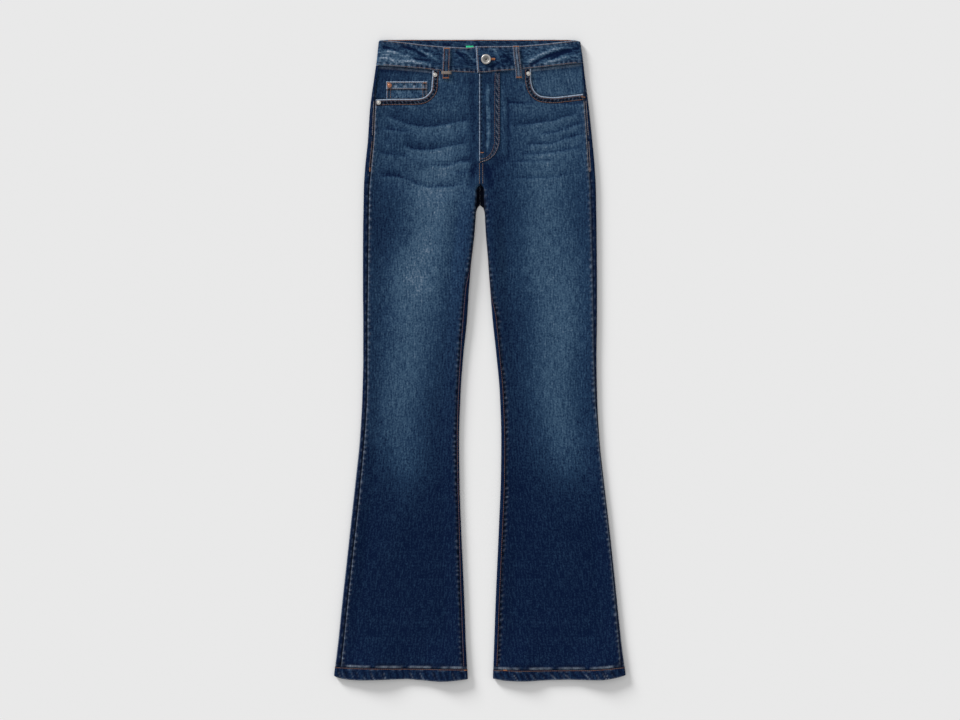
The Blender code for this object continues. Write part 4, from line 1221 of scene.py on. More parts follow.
@dataclass(frozen=True)
class Metal:
    """Cast fastener metal, rubbed pale on its high parts, with painted shade in a button's well."""

    name: str
    body: Colour
    tarnish: Colour
    rough: float = 0.42
    # dark: where the stored tarnish leads; in a button's well it is painted shade
    dark: Colour = dye(44, 42, 42)

    def make(self) -> bpy.types.Material:
        """Build the material."""
        kit = Kit(self.name, Metallic=0.75)
        cloud, fine = kit.spots(420.0), kit.spots(2200.0)
        worn = kit.blend((0.28 + cloud * 0.4).held(), self.body, self.tarnish)
        # stored tarnish: darker toward the rim, and painted shade in the button's well
        kit.feed("Base Color", kit.blend(kit.stored("tarnish"), worn, self.dark))
        kit.feed("Roughness", (self.rough + cloud * 0.10 + fine * 0.06).held())
        kit.bump(fine, 0.25, 0.05)
        return kit.material


@dataclass(frozen=True)
class Weave:
    """A narrow woven tape or tag in one yarn colour and a darker one."""

    name: str
    yarn: Colour
    under: Colour
    pick: float = 0.0008

    def make(self) -> bpy.types.Material:
        """Build the material."""
        kit = Kit(self.name, Roughness=0.85, Sheen_Weight=0.1)
        place = kit.place()
        turn = 2.0 * math.pi / self.pick
        rib = (kit.part(place, 0) * turn).sine() * (kit.part(place, 1) * turn).sine()
        fleck = kit.spots(700.0)
        kit.feed("Base Color", kit.blend((0.35 + rib * 0.22 + fleck * 0.22).held(), self.yarn, self.under))
        kit.bump(rib + fleck * 0.5, 0.5, 0.12)
        return kit.material


@dataclass(frozen=True)
class Paper:
    """The plain pale sheet that the garment lies on."""

    name: str
    tone: float = 0.816

    def make(self) -> bpy.types.Material:
        """Build the material."""
        kit = Kit(self.name, Roughness=1.0, Specular_IOR_Level=0.0)
        pale, near = ((tone, tone, tone, 1.0) for tone in (self.tone, self.tone * 0.995))
        kit.feed("Base Color", kit.blend((0.5 + kit.spots(2.0) * 0.5).held(), pale, near))
        return kit.material


class Cloths:
    """The finishes, each made once."""

    def __init__(self) -> None:
        """Make every material."""
        self.denim = Denim("washed_denim").make()
        self.rubbed = Denim("rubbed_denim", grain=1.2, rub=0.45).make()
        self.coin = Denim("coin_pocket_denim", grain=1.3, rub=0.60, lean=1.2).make()
        self.thread = Thread("topstitch_thread").make()
        self.pewter = Metal("pewter", dye(206, 203, 198), dye(120, 118, 116)).make()
        self.copper = Metal("copper", dye(178, 124, 98), dye(104, 70, 58)).make()
        self.tape = Weave("zip_tape", dye(62, 66, 76), dye(34, 38, 48)).make()
        self.keeper = Weave("keeper_tape", dye(134, 122, 112), dye(84, 76, 74)).make()
        self.tag = Weave("label_weave", dye(40, 204, 140), dye(14, 164, 106)).make()
        self.paper = Paper("paper").make()


# ------------------------------------------------------------------ how a piece is handed over

@dataclass(frozen=True)
class Cut:
    """The flat cut of a piece of cloth: width and length of its box, and its area, in metres."""

    width: float
    length: float
    area: float

    @classmethod
    def of(cls, grid: Array, ring: bool = False) -> "Cut":
        """Measure the cut of a grid of points.

        Args:
            grid: one face, as rows of columns.
            ring: whether the last column joins the first.

        Returns:
            The cut laid flat.
        """
        looped = np.concatenate([grid, grid[:, :1]], axis=1) if ring else grid
        wide = np.linalg.norm(np.diff(looped, axis=1), axis=2).sum(axis=1).max()
        long = np.linalg.norm(np.diff(looped, axis=0), axis=2).sum(axis=0).max()
        a, b, c, d = looped[:-1, :-1], looped[:-1, 1:], looped[1:, 1:], looped[1:, :-1]
        area = 0.5 * np.linalg.norm(np.cross(c - a, d - b), axis=2).sum()
        width, length = wide * MM, long * MM
        return cls(width, length, min(area * MM * MM, width * length))


def hand_over(obj: bpy.types.Object, material: bpy.types.Material, slot: str | None = None,
              nodes: Sequence[str] = (), cut: Cut | None = None) -> bpy.types.Object:
    """Give a finished piece its material and its place in the frame, and report it.

    Args:
        obj: the piece.
        material: its finish.
        slot: the record's material slot, if it has one; not used.
        nodes: the CAD nodes that it stands for.
        cut: its flat cut, if it is a sheet of cloth.

    Returns:
        The piece.
    """
    obj.data.materials.clear()
    obj.data.materials.append(material)
    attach(obj, "root")
    if nodes:
        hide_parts(*nodes)
    note = ""
    if cut:
        note = f", cut {cut.width * 1000:.0f} x {cut.length * 1000:.0f} mm, {cut.area * 1e4:.0f} cm2"
    LOG.info("%s: %d faces%s", obj.name, len(obj.data.polygons), note)
    return obj


def lay_cloth(leg: Leg, name: str, grid: tuple[Array, Array], faces: tuple[Any, Any], marks: Marks,
              material: bpy.types.Material, slot: str, nodes: Sequence[str],
              ring: bool = False) -> bpy.types.Object:
    """Make a piece of cloth on a leg's skin and hand it over.

    Args:
        leg: the side that it lies on.
        name: the piece's name.
        grid: lengths round the section and heights, as rows of columns.
        faces: how far its outer and its inner face stand off the skin.
        marks: its wash and wear.
        material: its finish.
        slot: the record's material slot.
        nodes: the CAD nodes that it stands for.
        ring: whether the last column joins the first.

    Returns:
        The piece.
    """
    way, y = grid
    outer, inner = (leg.skin(way, y, lift) for lift in faces)
    obj = shell(name, outer, inner, ring)
    paint(obj, marks, joined(way, y))
    return hand_over(obj, material, slot, nodes, Cut.of(outer, ring))


Span = tuple[Callable[[Array], Array], Callable[[Array], Array], Array]


def steps(count: int, last: bool = False) -> Array:
    """Even fractions from 0, with 1 only when it is the last stretch."""
    return np.linspace(0.0, 1.0, count + 1) if last else np.linspace(0.0, 1.0, count, endpoint=False)


def width_of(spans: Sequence[Span]) -> int:
    """How many columns the stretches hold."""
    return sum(len(t) for _, _, t in spans)


def ways(spans: Sequence[Span], y: Array) -> Array:
    """Lengths round the section of every column.

    Args:
        spans: stretches of columns, as start, end and fractions.
        y: heights, as rows of columns.

    Returns:
        The lengths, in the same layout.
    """
    out = np.empty(y.shape)
    at = 0
    for start, end, t in spans:
        block = y[:, at:at + len(t)]
        low, high = start(block), end(block)
        out[:, at:at + len(t)] = low + (high - low) * t
        at += len(t)
    return out


NEAR = np.array([0.0, 0.8, 1.6, 2.4, 3.4, 4.6, 6.0, 8.0, 10.5])
NEAR_END = 13.5
ROW_TOP, ROW_FOOT = 508.0, -522.0
TOP_BLEND, YOKE_BLEND, HEM_BLEND = 470.0, 392.0, -462.0
WAIST_LEVEL, BAND_LEVEL, HEM_LEVEL = 500.0, 520.0, -532.0
SEAM_SLACK = 0.6


def stretch(y: Array, top: Array, foot: Array) -> Array:
    """Move nominal heights so that the first row meets `top` and the last one `foot`."""
    high = TOP_BLEND + (y - TOP_BLEND) * (top - TOP_BLEND) / (ROW_TOP - TOP_BLEND)
    low = HEM_BLEND + (y - HEM_BLEND) * (foot - HEM_BLEND) / (ROW_FOOT - HEM_BLEND)
    return np.where(y > TOP_BLEND, high, np.where(y < HEM_BLEND, low, y))


# ------------------------------------------------------------------ the legs

@dataclass
class FrontPanel:
    """The front of one leg, from the waist seam to the hem, with its pocket mouth cut out."""

    leg: Leg
    rows: int = 430
    middle: int = 58

    def spans(self) -> list[Span]:
        """The columns, closest beside the two seams."""
        leg = self.leg

        def outer(y: Array) -> Array:
            """The outseam."""
            return leg.outseam_way(y) + SEAM_GAP / 2

        def end(y: Array) -> Array:
            """The inseam, or the centre front."""
            return leg.inner_start(y) + leg.front_end(y)

        near = NEAR / NEAR_END
        far = 1.0 - np.append(NEAR_END, NEAR[::-1]) / NEAR_END
        return [(outer, lambda y: outer(y) + NEAR_END, near),
                (lambda y: outer(y) + NEAR_END, lambda y: end(y) - NEAR_END, steps(self.middle)),
                (lambda y: end(y) - NEAR_END, end, far)]

    def build(self, cloths: Cloths, mouth: "MouthBand") -> bpy.types.Object:
        """Make the panel.

        Args:
            cloths: the finishes.
            mouth: the stitched edge of its pocket mouth.

        Returns:
            The panel.
        """
        leg, spans = self.leg, self.spans()
        side = leg.side.word
        y = np.repeat(np.linspace(ROW_TOP, ROW_FOOT, self.rows)[:, None], width_of(spans), axis=1)
        x = leg.skin(ways(spans, y), y)[..., 0]
        y = stretch(y, FRONT_WAIST_SEAM(x) - SEAM_GAP, HEM_SEAM(x) + SEAM_SLACK)
        way = ways(spans, y)
        face = leg.skin(way, y)
        obj = shell("front_panel_" + side, face, leg.skin(way, y, -SHELL))
        cut_away(obj, mouth.opening())
        points = points_of(obj)
        obj.data.shade_smooth()
        around = leg.unwrap(points)
        paint(obj, leg.marks(around, points[:, 1]), joined(around, points[:, 1]))
        return hand_over(obj, cloths.denim, "denim", ["front_leg_" + side], Cut.of(face))


@dataclass
class Back:
    """The back of one side: its leg panel and its yoke, wrapped round both folds."""

    leg: Leg
    rows: int = 396
    yoke_rows: int = 28

    def spans(self) -> list[Span]:
        """The columns, from the outseam under the leg to the inseam."""
        leg = self.leg

        def outer(y: Array) -> Array:
            """The outseam."""
            return leg.outseam_way(y) - SEAM_GAP / 2

        def under(y: Array) -> Array:
            """The foot of the outer fold."""
            return -leg.quarter(y)

        def fold(y: Array) -> Array:
            """The foot of the inner fold."""
            return -leg.inner_start(y)

        def inner(y: Array) -> Array:
            """The inseam, or the centre back."""
            return -leg.inner_start(y) - leg.back_end(y)

        return [(outer, under, steps(15)), (under, fold, steps(36)), (fold, inner, steps(13, True))]

    def yoke_seam(self, columns: int, spans: Sequence[Span]) -> Array:
        """Height of the yoke seam at each column."""
        side = np.full((1, columns), YOKE_SIDE_Y)
        way = ways(spans, side)
        x = self.leg.skin(way, side)[..., 0]
        return np.where(way >= 0, YOKE_SIDE_Y, yoke_seam_y(x))[0]

    def build(self, cloths: Cloths) -> None:
        """Make the leg panel and the yoke."""
        leg, spans = self.leg, self.spans()
        columns = width_of(spans)
        seam = self.yoke_seam(columns, spans)
        y = np.repeat(np.linspace(TOP_BLEND, ROW_FOOT, self.rows)[:, None], columns, axis=1)
        x = leg.skin(ways(spans, y), y)[..., 0]
        top = YOKE_BLEND + (y - YOKE_BLEND) * (seam - SEAM_GAP / 2 - YOKE_BLEND) / (TOP_BLEND - YOKE_BLEND)
        low = stretch(np.minimum(y, TOP_BLEND), np.full(y.shape, TOP_BLEND), HEM_SEAM(x) + SEAM_SLACK)
        self.wall("back_panel_", "back_leg_", np.where(y >= YOKE_BLEND, top, low), cloths)
        level = np.full((1, columns), WAIST_LEVEL)
        way = ways(spans, level)
        x = leg.skin(way, level)[..., 0]
        high = np.where(way >= 0, FRONT_WAIST_SEAM(x), BACK_WAIST_SEAM(x)) - 2 * SEAM_GAP
        t = np.linspace(0.0, 1.0, self.yoke_rows)[:, None]
        self.wall("yoke_cloth_", "yoke_", high + (seam + SEAM_GAP / 2 - high) * t, cloths)

    def wall(self, name: str, node: str, y: Array, cloths: Cloths) -> bpy.types.Object:
        """Make one wall of denim on this side's skin, for the node of the same side."""
        leg, way = self.leg, ways(self.spans(), y)
        return lay_cloth(leg, name + leg.side.word, (way, y), (0.0, -SHELL), leg.marks(way, y), cloths.denim,
                         "denim", [node + leg.side.word])


@dataclass
class Hem:
    """The turned hem: a flattened ring round the foot of a leg, roped by its stitching."""

    leg: Leg
    rise: float = 0.35
    thickness: float = 2.2
    rows: int = 20

    def spans(self) -> list[Span]:
        """The columns, once round the foot."""
        leg = self.leg

        def under(y: Array) -> Array:
            """The foot of the inner fold."""
            return leg.inner_start(y) + 2 * leg.quarter(y, "inner")

        def back(y: Array) -> Array:
            """The foot of the outer fold, all the way round."""
            return under(y) + leg.inner_start(y) - leg.quarter(y)

        return [(lambda y: -leg.quarter(y), leg.quarter, steps(14)),
                (leg.quarter, leg.inner_start, steps(100)),
                (leg.inner_start, under, steps(14)),
                (under, back, steps(70))]

    def columns_x(self) -> Array:
        """Plan position of every column."""
        spans = self.spans()
        level = np.full((1, width_of(spans)), HEM_LEVEL)
        return self.leg.skin(ways(spans, level), level)[..., 0]

    def build(self, cloths: Cloths) -> bpy.types.Object:
        """Make the hem."""
        leg, x = self.leg, self.columns_x()
        s = np.linspace(0.0, 1.0, self.rows)[:, None]
        t = 0.5 * s + 0.5 * (0.5 - 0.5 * np.cos(math.pi * s))
        y = HEM_SEAM(x) + (HEM_EDGE(x) - HEM_SEAM(x)) * t
        way = ways(self.spans(), y)
        lift = self.rise * leg.on_top(way, y)
        size = HEM_SEAM(x) - HEM_EDGE(x)
        from_edge, from_seam = size * (1 - t), size * t
        upper = smooth((way - 3.0) / 6.0) * smooth((leg.inner_start(y) + 4.0 - way) / 6.0)
        phase = way / 12.4 + from_seam / 30.0 * leg.sign + 0.5 * noise1(way / 37.0, 3.0 + leg.sign)
        rope = np.cos(2 * math.pi * phase) * np.sin(math.pi * held(t)) ** 0.8
        strength = 0.65 + 0.35 * noise1(way / 29.0, 8.0)
        high = lift - rounded(from_edge, 1.1) + upper * (0.34 * rope * strength
                                                         - 0.22 * bell((from_seam - 1.4) / 1.2))
        low = lift - self.thickness + rounded(from_edge, 0.9)
        low_half = smooth((from_seam - 5.0) / 6.0)
        uneven = held(0.45 + 0.55 * noise1(way / 11.0, 5.0 + leg.sign))
        row = way / 6.4 + leg.sign * from_seam * 0.09 + 0.9 * noise1(way / 17.0, 1.0 + leg.sign)
        thin = np.abs(row - np.round(row)) * 6.4
        tick = bell(thin / 1.7) * held(noise1(np.round(row) * 2.3, 7.0) * 1.4) * uneven * low_half
        wear = upper * (0.60 * tick
                        + 0.34 * bell((from_edge - 0.6) / 1.8) * (0.55 + 0.45 * noise1(way / 4.3, 2.0))
                        + 0.20 * bell((from_seam - 3.4) / 1.6) * held(noise1(way / 6.0, 9.0)))
        # painted shade in the troughs of the roping and along the join with the panel
        trough_shade = held(-rope + 0.4 * noise1(way / 3.7 + from_seam, 3.0)) ** 2 * strength
        shade = 0.75 * trough_shade * upper * smooth((from_seam - 2.0) / 3.0) + 0.55 * bell(from_seam / 1.2)
        marks = Marks(0.08 + 0.10 * rope * upper, held(wear), held(shade))
        return lay_cloth(leg, "turned_hem_" + leg.side.word, (way, y), (high, low), marks, cloths.denim,
                         "denim", ["hem_" + leg.side.word], ring=True)


# ------------------------------------------------------------------ waist and pockets

@dataclass
class Waistband:
    """The band: one strip from its button end, round the back, to its buttonhole end lapped on top."""

    right: Leg
    left: Leg
    thickness: float = 2.4
    climb: float = 0.5
    start_x: float = 38.0
    end_x: float = -4.6
    lean: float = 2.6
    rows: int = 26
    bend_x: float = 150.0

    def end_at(self, y: Any) -> Array:
        """Where the leaning buttonhole end is at a height."""
        return self.end_x - self.lean * (np.asarray(y) - FRONT_WAIST_SEAM(self.end_x)) / 44.0

    def lift(self, leg: Leg, x: Array, way: Array) -> Array:
        """How far the band's face stands off the panels' face."""
        climb = self.climb * smooth(way / 6.0)
        right = climb - 1.6 * smooth((x + 26.0) / 15.0)
        left = climb + 1.3 * smooth((54.0 - x) / 13.0)
        return np.where(way < 0, 0.0, right if leg.side is Side.RIGHT else left)

    def strips(self) -> list[tuple[Leg, list[Span]]]:
        """The columns of the two sides, in order along the strip."""
        def at(leg: Leg, x: float, sign: int = 1) -> Callable[[Array], Array]:
            """The length round to a plan position, over or under."""
            return lambda y: sign * leg.way_at(x, y)

        def fold(leg: Leg, sign: int) -> Callable[[Array], Array]:
            """The start of the outer fold, over or under."""
            return lambda y: sign * leg.quarter(y)

        r, l, bend = self.right, self.left, self.bend_x
        return [
            (r, [(at(r, self.start_x), at(r, -bend), steps(94)),
                 (at(r, -bend), fold(r, 1), steps(10)),
                 (fold(r, 1), fold(r, -1), steps(14)),
                 (fold(r, -1), at(r, -bend, -1), steps(10)),
                 (at(r, -bend, -1), at(r, 0.0, -1), steps(40))]),
            (l, [(at(l, 0.0, -1), at(l, bend, -1), steps(40)),
                 (at(l, bend, -1), fold(l, -1), steps(10)),
                 (fold(l, -1), fold(l, 1), steps(14)),
                 (fold(l, 1), at(l, bend), steps(10)),
                 (at(l, bend), lambda y: l.way_at(self.end_at(y), y), steps(78, True))]),
        ]

    def build(self, cloths: Cloths) -> bpy.types.Object:
        """Make the band."""
        s = np.linspace(0.0, 1.0, self.rows)[:, None]
        t = 0.4 * s + 0.6 * (0.5 - 0.5 * np.cos(math.pi * s))
        outer, inner, parts = [], [], []
        for leg, spans in self.strips():
            level = np.full((1, width_of(spans)), BAND_LEVEL)
            way = ways(spans, level)
            x = leg.skin(way, level)[..., 0]
            low = np.where(way >= 0, FRONT_WAIST_SEAM(x), BACK_WAIST_SEAM(x))
            high = np.where(way >= 0, FRONT_BAND_TOP(x), BACK_BAND_TOP(x))
            y = high + (low - high) * t
            way = ways(spans, y)
            from_top, from_foot = (high - low) * t, (high - low) * (1 - t)
            from_end = np.maximum(leg.skin(way, y)[..., 0] - self.end_at(y), 0.0)
            from_end = np.where((way >= 0) & (leg.side is Side.LEFT), from_end, FAR)
            base = self.lift(leg, x, way)
            ripple = np.cos(2 * math.pi * (x / 9.3 + 0.5 * noise1(x / 31.0, 4.0)) + from_foot * 0.12)
            near = bell((from_foot - 3.0) / 6.0) + 0.7 * bell((from_top - 3.0) / 6.0)
            crease = sum(c.height * bell(c.away(x, y) / c.reach) for c in BAND_CREASES)
            over = np.where(way > 4.0, 1.0, 0.0)
            dip = 0.22 * (bell((from_top - 2.4) / 1.3) + bell((from_foot - 2.4) / 1.3)
                          + bell((from_end - 2.2) / 1.3))
            fallen = rounded(np.minimum(from_top, from_foot), 0.8)
            face = base + over * (0.16 * ripple * near + crease - dip) - fallen - rounded(from_end, 0.8)
            back = base - self.thickness + fallen * np.where(way < 0, 1.0, 0.4)
            outer.append(leg.skin(way, y, face))
            inner.append(leg.skin(way, y, back))
            across = np.broadcast_to(x, y.shape)
            parts.append((way, y, across, from_top, from_foot, from_end, ripple * near * over))
        grid = np.concatenate(outer, axis=1)
        obj = shell("band_cloth", grid, np.concatenate(inner, axis=1))
        way, y, x, from_top, from_foot, from_end, ridge = (np.concatenate(p, axis=1) for p in zip(*parts))
        over = np.where(way > 0, 1.0, 0.0)
        fade = 0.34 + over * (0.55 * bell((x + 150.0) / 50.0) * smooth((from_top - 6.0) / 14.0)
                              + 0.10 * bell((x + 84.0) / 60.0) + 0.26 * bell((x - 110.0) / 70.0)
                              + 0.16 * ridge)
        # band creases: paler ridges are wear, darker troughs are painted shade
        for crease in BAND_CREASES:
            fade = fade + 2.6 * over * crease.fade * bell(crease.away(x, y) / crease.reach / 0.85)
        worn = 0.7 + 0.3 * noise1(x / 5.0, 3.0)
        wear = over * (0.42 * bell(from_top / 1.5) * worn + 0.30 * bell(from_foot / 1.5) * worn
                       + 0.70 * bell(from_end / 1.8) + 0.16 * held(ridge))
        # painted shade: a dark line just inside the top and foot rows, darker in the ripple troughs
        shade = over * (0.50 * bell((from_foot - 4.6) / 1.6) * held(0.6 - ridge)
                        + 0.34 * bell((from_top - 4.4) / 1.5) * held(0.6 - ridge))
        paint(obj, Marks(fade, held(wear), shade), joined(y, x))
        return hand_over(obj, cloths.rubbed, "dark_denim", ["waistband"], Cut.of(grid))


BAND_CREASES = (
    Crease(-164, 531, -128, 519, 2, 5.0, -0.45, -0.26),
    Crease(-156, 525, -112, 509, 3, 4.5, 0.40, 0.30),
    Crease(-168, 515, -142, 506, 2, 4.0, 0.30, 0.30),
    Crease(-130, 532, -92, 516, 2, 4.5, -0.35, -0.24),
    Crease(-136, 508, -84, 501, 2, 4.0, 0.35, 0.34),
    Crease(-120, 512, -84, 508, 1, 3.0, -0.30, -0.20),
    Crease(-104, 526, -76, 512, 2, 4.0, 0.30, 0.22),
    Crease(-40, 524, -20, 502, 2, 4.0, -0.35, -0.20),
    Crease(-30, 526, -10, 508, 2, 3.5, 0.25, 0.22),
    Crease(18, 498, 46, 508, 2, 4.0, -0.35, -0.20),
    Crease(24, 528, 34, 504, 1, 3.5, 0.25, 0.18),
    Crease(40, 520, 54, 504, 1, 3.5, -0.30, -0.18),
    Crease(84, 500, 150, 526, 4, 5.0, -0.45, -0.26),
    Crease(84, 508, 138, 530, 3, 4.5, 0.40, 0.28),
    Crease(112, 504, 166, 518, 2, 4.5, 0.35, 0.28),
    Crease(122, 512, 168, 530, 2, 4.0, -0.35, -0.22),
)


@dataclass
class MouthBand:
    """The stitched edge of a pocket mouth, turned under along the mouth's curve."""

    leg: Leg
    line: Sequence[Point]
    count: int = 110

    def offset(self, away: float) -> Array:
        """The mouth's curve moved into the panel, from the waist seam to the outseam."""
        points = offset_line(along_line(self.line, 1.0), -self.leg.sign * away)
        x, y = points[:, 0], points[:, 1]
        side = self.leg.read("outer", y) - self.leg.read("outseam", y) - SEAM_GAP
        kept = points[(y < FRONT_WAIST_SEAM(x) - SEAM_GAP) & (self.leg.sign * x < side)]
        run = run_along(kept)
        at = np.linspace(0.0, run[-1], self.count)
        return joined(np.interp(at, run, kept[:, 0]), np.interp(at, run, kept[:, 1]))

    def opening(self) -> list[Point]:
        """The outline that the panel is cut to, which leaves room for this edge."""
        inner = offset_line(along_line(self.line, 3.0), -self.leg.sign * MOUTH_BAND)
        inner = inner[inner[:, 1] < 512.0]
        far = self.leg.sign * 214.0
        first, last = inner[0], inner[-1]
        outline = [(float(a), float(b)) for a, b in inner]
        return outline + [(far, float(last[1])), (far, 520.0), (float(first[0]), 520.0)]

    def build(self, cloths: Cloths) -> bpy.types.Object:
        """Make the edge."""
        away = np.array([0.0, 0.25, 0.6, 1.0, 1.6, 2.3, 2.9, 3.8, 5.0, 6.2, 7.4, 8.6, 9.4, 10.0,
                         MOUTH_BAND - 0.2])
        grid = np.stack([self.offset(a) for a in away], axis=1)
        x, y = grid[..., 0], grid[..., 1]
        way = self.leg.way_at(x, y)
        run = np.arange(self.count)[:, None] * 1.7
        ripple = np.cos(2 * math.pi * (run / 8.4 + 0.4 * noise1(run / 30.0, 6.0)))
        puffed = np.sin(math.pi * held((away - 2.9) / 6.5)) * 0.26
        high = 0.22 + puffed * (1 + 0.5 * ripple) - rounded(away, 0.9) * 0.9
        high = high - 0.16 * bell((away - 2.9) / 0.9) - 0.16 * bell((away - 9.4) / 0.9)
        low = -SHELL - 0.15 + rounded(away, 0.5) * 0.5
        marks = self.leg.marks(way, y)
        bright = 0.85 + 0.15 * noise1(run / 4.1, 1.0)
        fleck = noise1(run / 1.9 + away, 3.0)
        crests = held(ripple * 0.6 + 0.6 * fleck) ** 2 * (puffed > 0.05)
        marks.wear = held(1.35 * bell(away / 2.6) * bright + 0.42 * crests)
        # the dark middle between the rows is unworn cloth; its ripple troughs and the line at the panel's cut
        # edge are painted shade
        marks.shade = held(bell((away - 6.0) / 4.6) * held(0.95 - 0.35 * ripple - 0.4 * fleck)
                           + 0.45 * bell((away - 10.4) / 0.8))
        marks.fade = marks.fade * 0.3 + 0.18
        side = self.leg.side.word
        return lay_cloth(self.leg, "pocket_edge_" + side, (way, y), (high, low), marks, cloths.rubbed,
                         "denim", ())


@dataclass
class Facing:
    """The denim seen in a pocket mouth."""

    leg: Leg
    line: Sequence[Point]
    tuck: float = 9.0
    top: float = -1.8
    thickness: float = 0.9

    def build(self, cloths: Cloths) -> bpy.types.Object:
        """Make the facing."""
        leg = self.leg
        side = leg.side.word
        t, r = lattice(0.0, 1.0, 52, 0.0, 1.0, 36)
        inner_x = self.line[1][0] - leg.sign * self.tuck
        edge_x = leg.sign * (float(leg.read("outer", 470.0)) - 9.0)
        high = FRONT_WAIST_SEAM(inner_x + (edge_x - inner_x) * t) - SEAM_GAP
        low = min(y for _, y in self.line) - 14.0
        y = high + (low - high) * r
        start, end = leg.outseam_way(y) - 1.0, leg.way_at(inner_x, y)
        way = end + (start - end) * t
        marks = leg.marks(way, y)
        x = leg.skin(way, y)[..., 0]
        away = outline_distance(self.line[1:], x, y, closed=False)
        from_band = FRONT_WAIST_SEAM(x) - y
        base = 0.70 if leg.side is Side.LEFT else 0.34 + 0.22 * smooth((x + 130.0) / 40.0)
        drag = noise1(x / 9.0 + y / 13.0, 5.0) * noise1(y / 11.0 - x / 21.0, 2.0)
        marks.fade = base + 0.26 * drag - 0.20 * bell((from_band - 6.0) / 7.0)
        # painted shadow along the pocket mouth, under its overhanging edge, and painted shade just under the
        # band
        marks.shade = 0.60 * bell(away / 3.2) + 0.25 * bell((from_band - 1.0) / 1.4)
        marks.wear = 0.46 * bell((from_band - 3.4) / 1.7) * (0.7 + 0.3 * noise1(x / 5.0, 1.0))
        return lay_cloth(leg, "facing_cloth_" + side, (way, y), (self.top, self.top - self.thickness), marks,
                         cloths.denim, "dark_denim", ["pocket_facing_" + side])


@dataclass
class CoinPocket:
    """The small fifth pocket on the right facing."""

    leg: Leg
    left_x: float = -159.1
    right_x: float = -89.5
    top_y: float = 473.8
    hem: float = 12.5
    back: float = -1.5

    def build(self, cloths: Cloths) -> bpy.types.Object:
        """Make the pocket."""
        lower = sorted(p for p in RIGHT_MOUTH if p[1] < 470)
        foot = Curve([p[0] for p in lower], [p[1] for p in lower])
        x, r = lattice(self.left_x, self.right_x, 46, 0.0, 1.0, 26)
        y = self.top_y + (foot(x) + 0.6 - self.top_y) * r
        way = self.leg.way_at(x, y)
        from_top = self.top_y - y
        from_side = np.minimum(x - self.left_x, self.right_x - x)
        high = (-0.6 + 0.16 * smooth((self.hem - from_top) / 1.2)
                - rounded(np.minimum(from_top, from_side), 0.5)
                - 0.10 * bell(from_side - 2.0) - 0.10 * bell(from_side - 7.0))
        marks = self.leg.marks(way, y)
        inside = from_top - self.hem
        marks.fade = np.where(inside < 0, 0.80, 0.70) + 0.16 * noise1(x / 9.0 + y / 7.0, 1.0)
        marks.wear = held(0.85 * bell(from_top / 1.7) + 0.50 * bell(from_side / 1.5)
                          + 0.80 * bell((from_top - 8.5) / 4.0) * held(noise1(x / 2.6, 4.0))
                          + 0.40 * bell((inside + 1.0) / 1.2))
        # painted shade below the hem's edge and in the channels between the rows
        marks.shade = (0.95 * bell((inside - 1.8) / 1.6) + 0.75 * bell((from_side - 4.5) / 2.0)
                       + 0.95 * bell((from_top - 5.0) / 3.4) * held(0.15 + noise1(x / 2.8, 2.0)))
        return lay_cloth(self.leg, "coin_pocket_cloth", (way, y), (high, self.back), marks, cloths.coin,
                         "denim", ["coin_pocket"])


@dataclass
class Fly:
    """The doubled front over the zip, ending in its J; the ridges that the zip presses through are only
    painted on.
    """

    leg: Leg
    top_y: float = 489.4
    foot_y: float = 338.0
    back: float = 0.12

    def build(self, cloths: Cloths) -> bpy.types.Object:
        """Make the flap."""
        t, y = lattice(0.0, 1.0, 40, self.top_y, self.foot_y, 110)
        near, far = FRONT_CENTRE(y) + SEAM_GAP, FLY_EDGE(y)
        x = near + (far - near) * t
        y[0] = FRONT_WAIST_SEAM(x[0]) - 2 * SEAM_GAP
        way = self.leg.way_at(x, y)
        from_near, from_far = x - near, far - x
        foot = smooth((y - self.foot_y) / 6.0)
        tooth = 0.5 + 0.5 * np.cos(2 * math.pi * (y / 7.6 + 0.5 * noise1(y / 31.0, 7.0)))
        strip = bell((x - 13.5 - 1.5 * noise1(y / 23.0, 2.0)) / 5.5)
        strip = strip * smooth((480.0 - y) / 26.0) * smooth((y - 350.0) / 20.0)
        high = (SEAM_GAP + 0.30 + 0.50 * smooth(from_far / 9.0) + 0.28 * strip - rounded(from_near, 0.7) * 0.9
                - 0.22 * bell((from_far - 5.4) / 2.2) - 0.18 * bell((x - 6.0) / 2.6))
        high = mix(SEAM_GAP + 0.15, high, foot)
        marks = self.leg.marks(way, y)
        rows = bell((from_far - 5.4) / 3.0)
        fleck = noise1(y / 1.7 + x, 5.0)
        marks.fade = (0.24 + 0.95 * strip * (0.65 + 0.35 * noise1(y / 5.0, 3.0))
                      + 0.12 * bell((from_far - 12.0) / 3.0)
                      + 0.50 * bell((from_near - 4.4) / 1.8) * tooth)
        marks.wear = held(1.15 * bell(from_near / 1.7) * (0.5 + 0.3 * tooth + 0.2 * fleck)
                          + 0.80 * rows * held(1.1 * fleck))
        # painted shade between the zip's painted ridges, between the J rows and beside the inner groove; the
        # ridges are worn paler
        marks.shade = held(0.80 * bell((from_near - 3.6) / 2.2) * (1 - 0.7 * tooth)
                           + 0.90 * rows * (0.55 - 0.5 * fleck)
                           + 0.45 * bell((x - 9.0) / 2.0) * smooth((450.0 - y) / 30.0))
        return lay_cloth(self.leg, "fly_cloth", (way, y), (high, self.back), marks, cloths.denim, "denim",
                         ["fly"])


@dataclass(frozen=True)
class LoopPlan:
    """A belt loop on the front: the middle of its head and foot, and its width."""

    name: str
    head_x: float
    head_y: float
    foot_x: float
    foot_y: float
    width: float


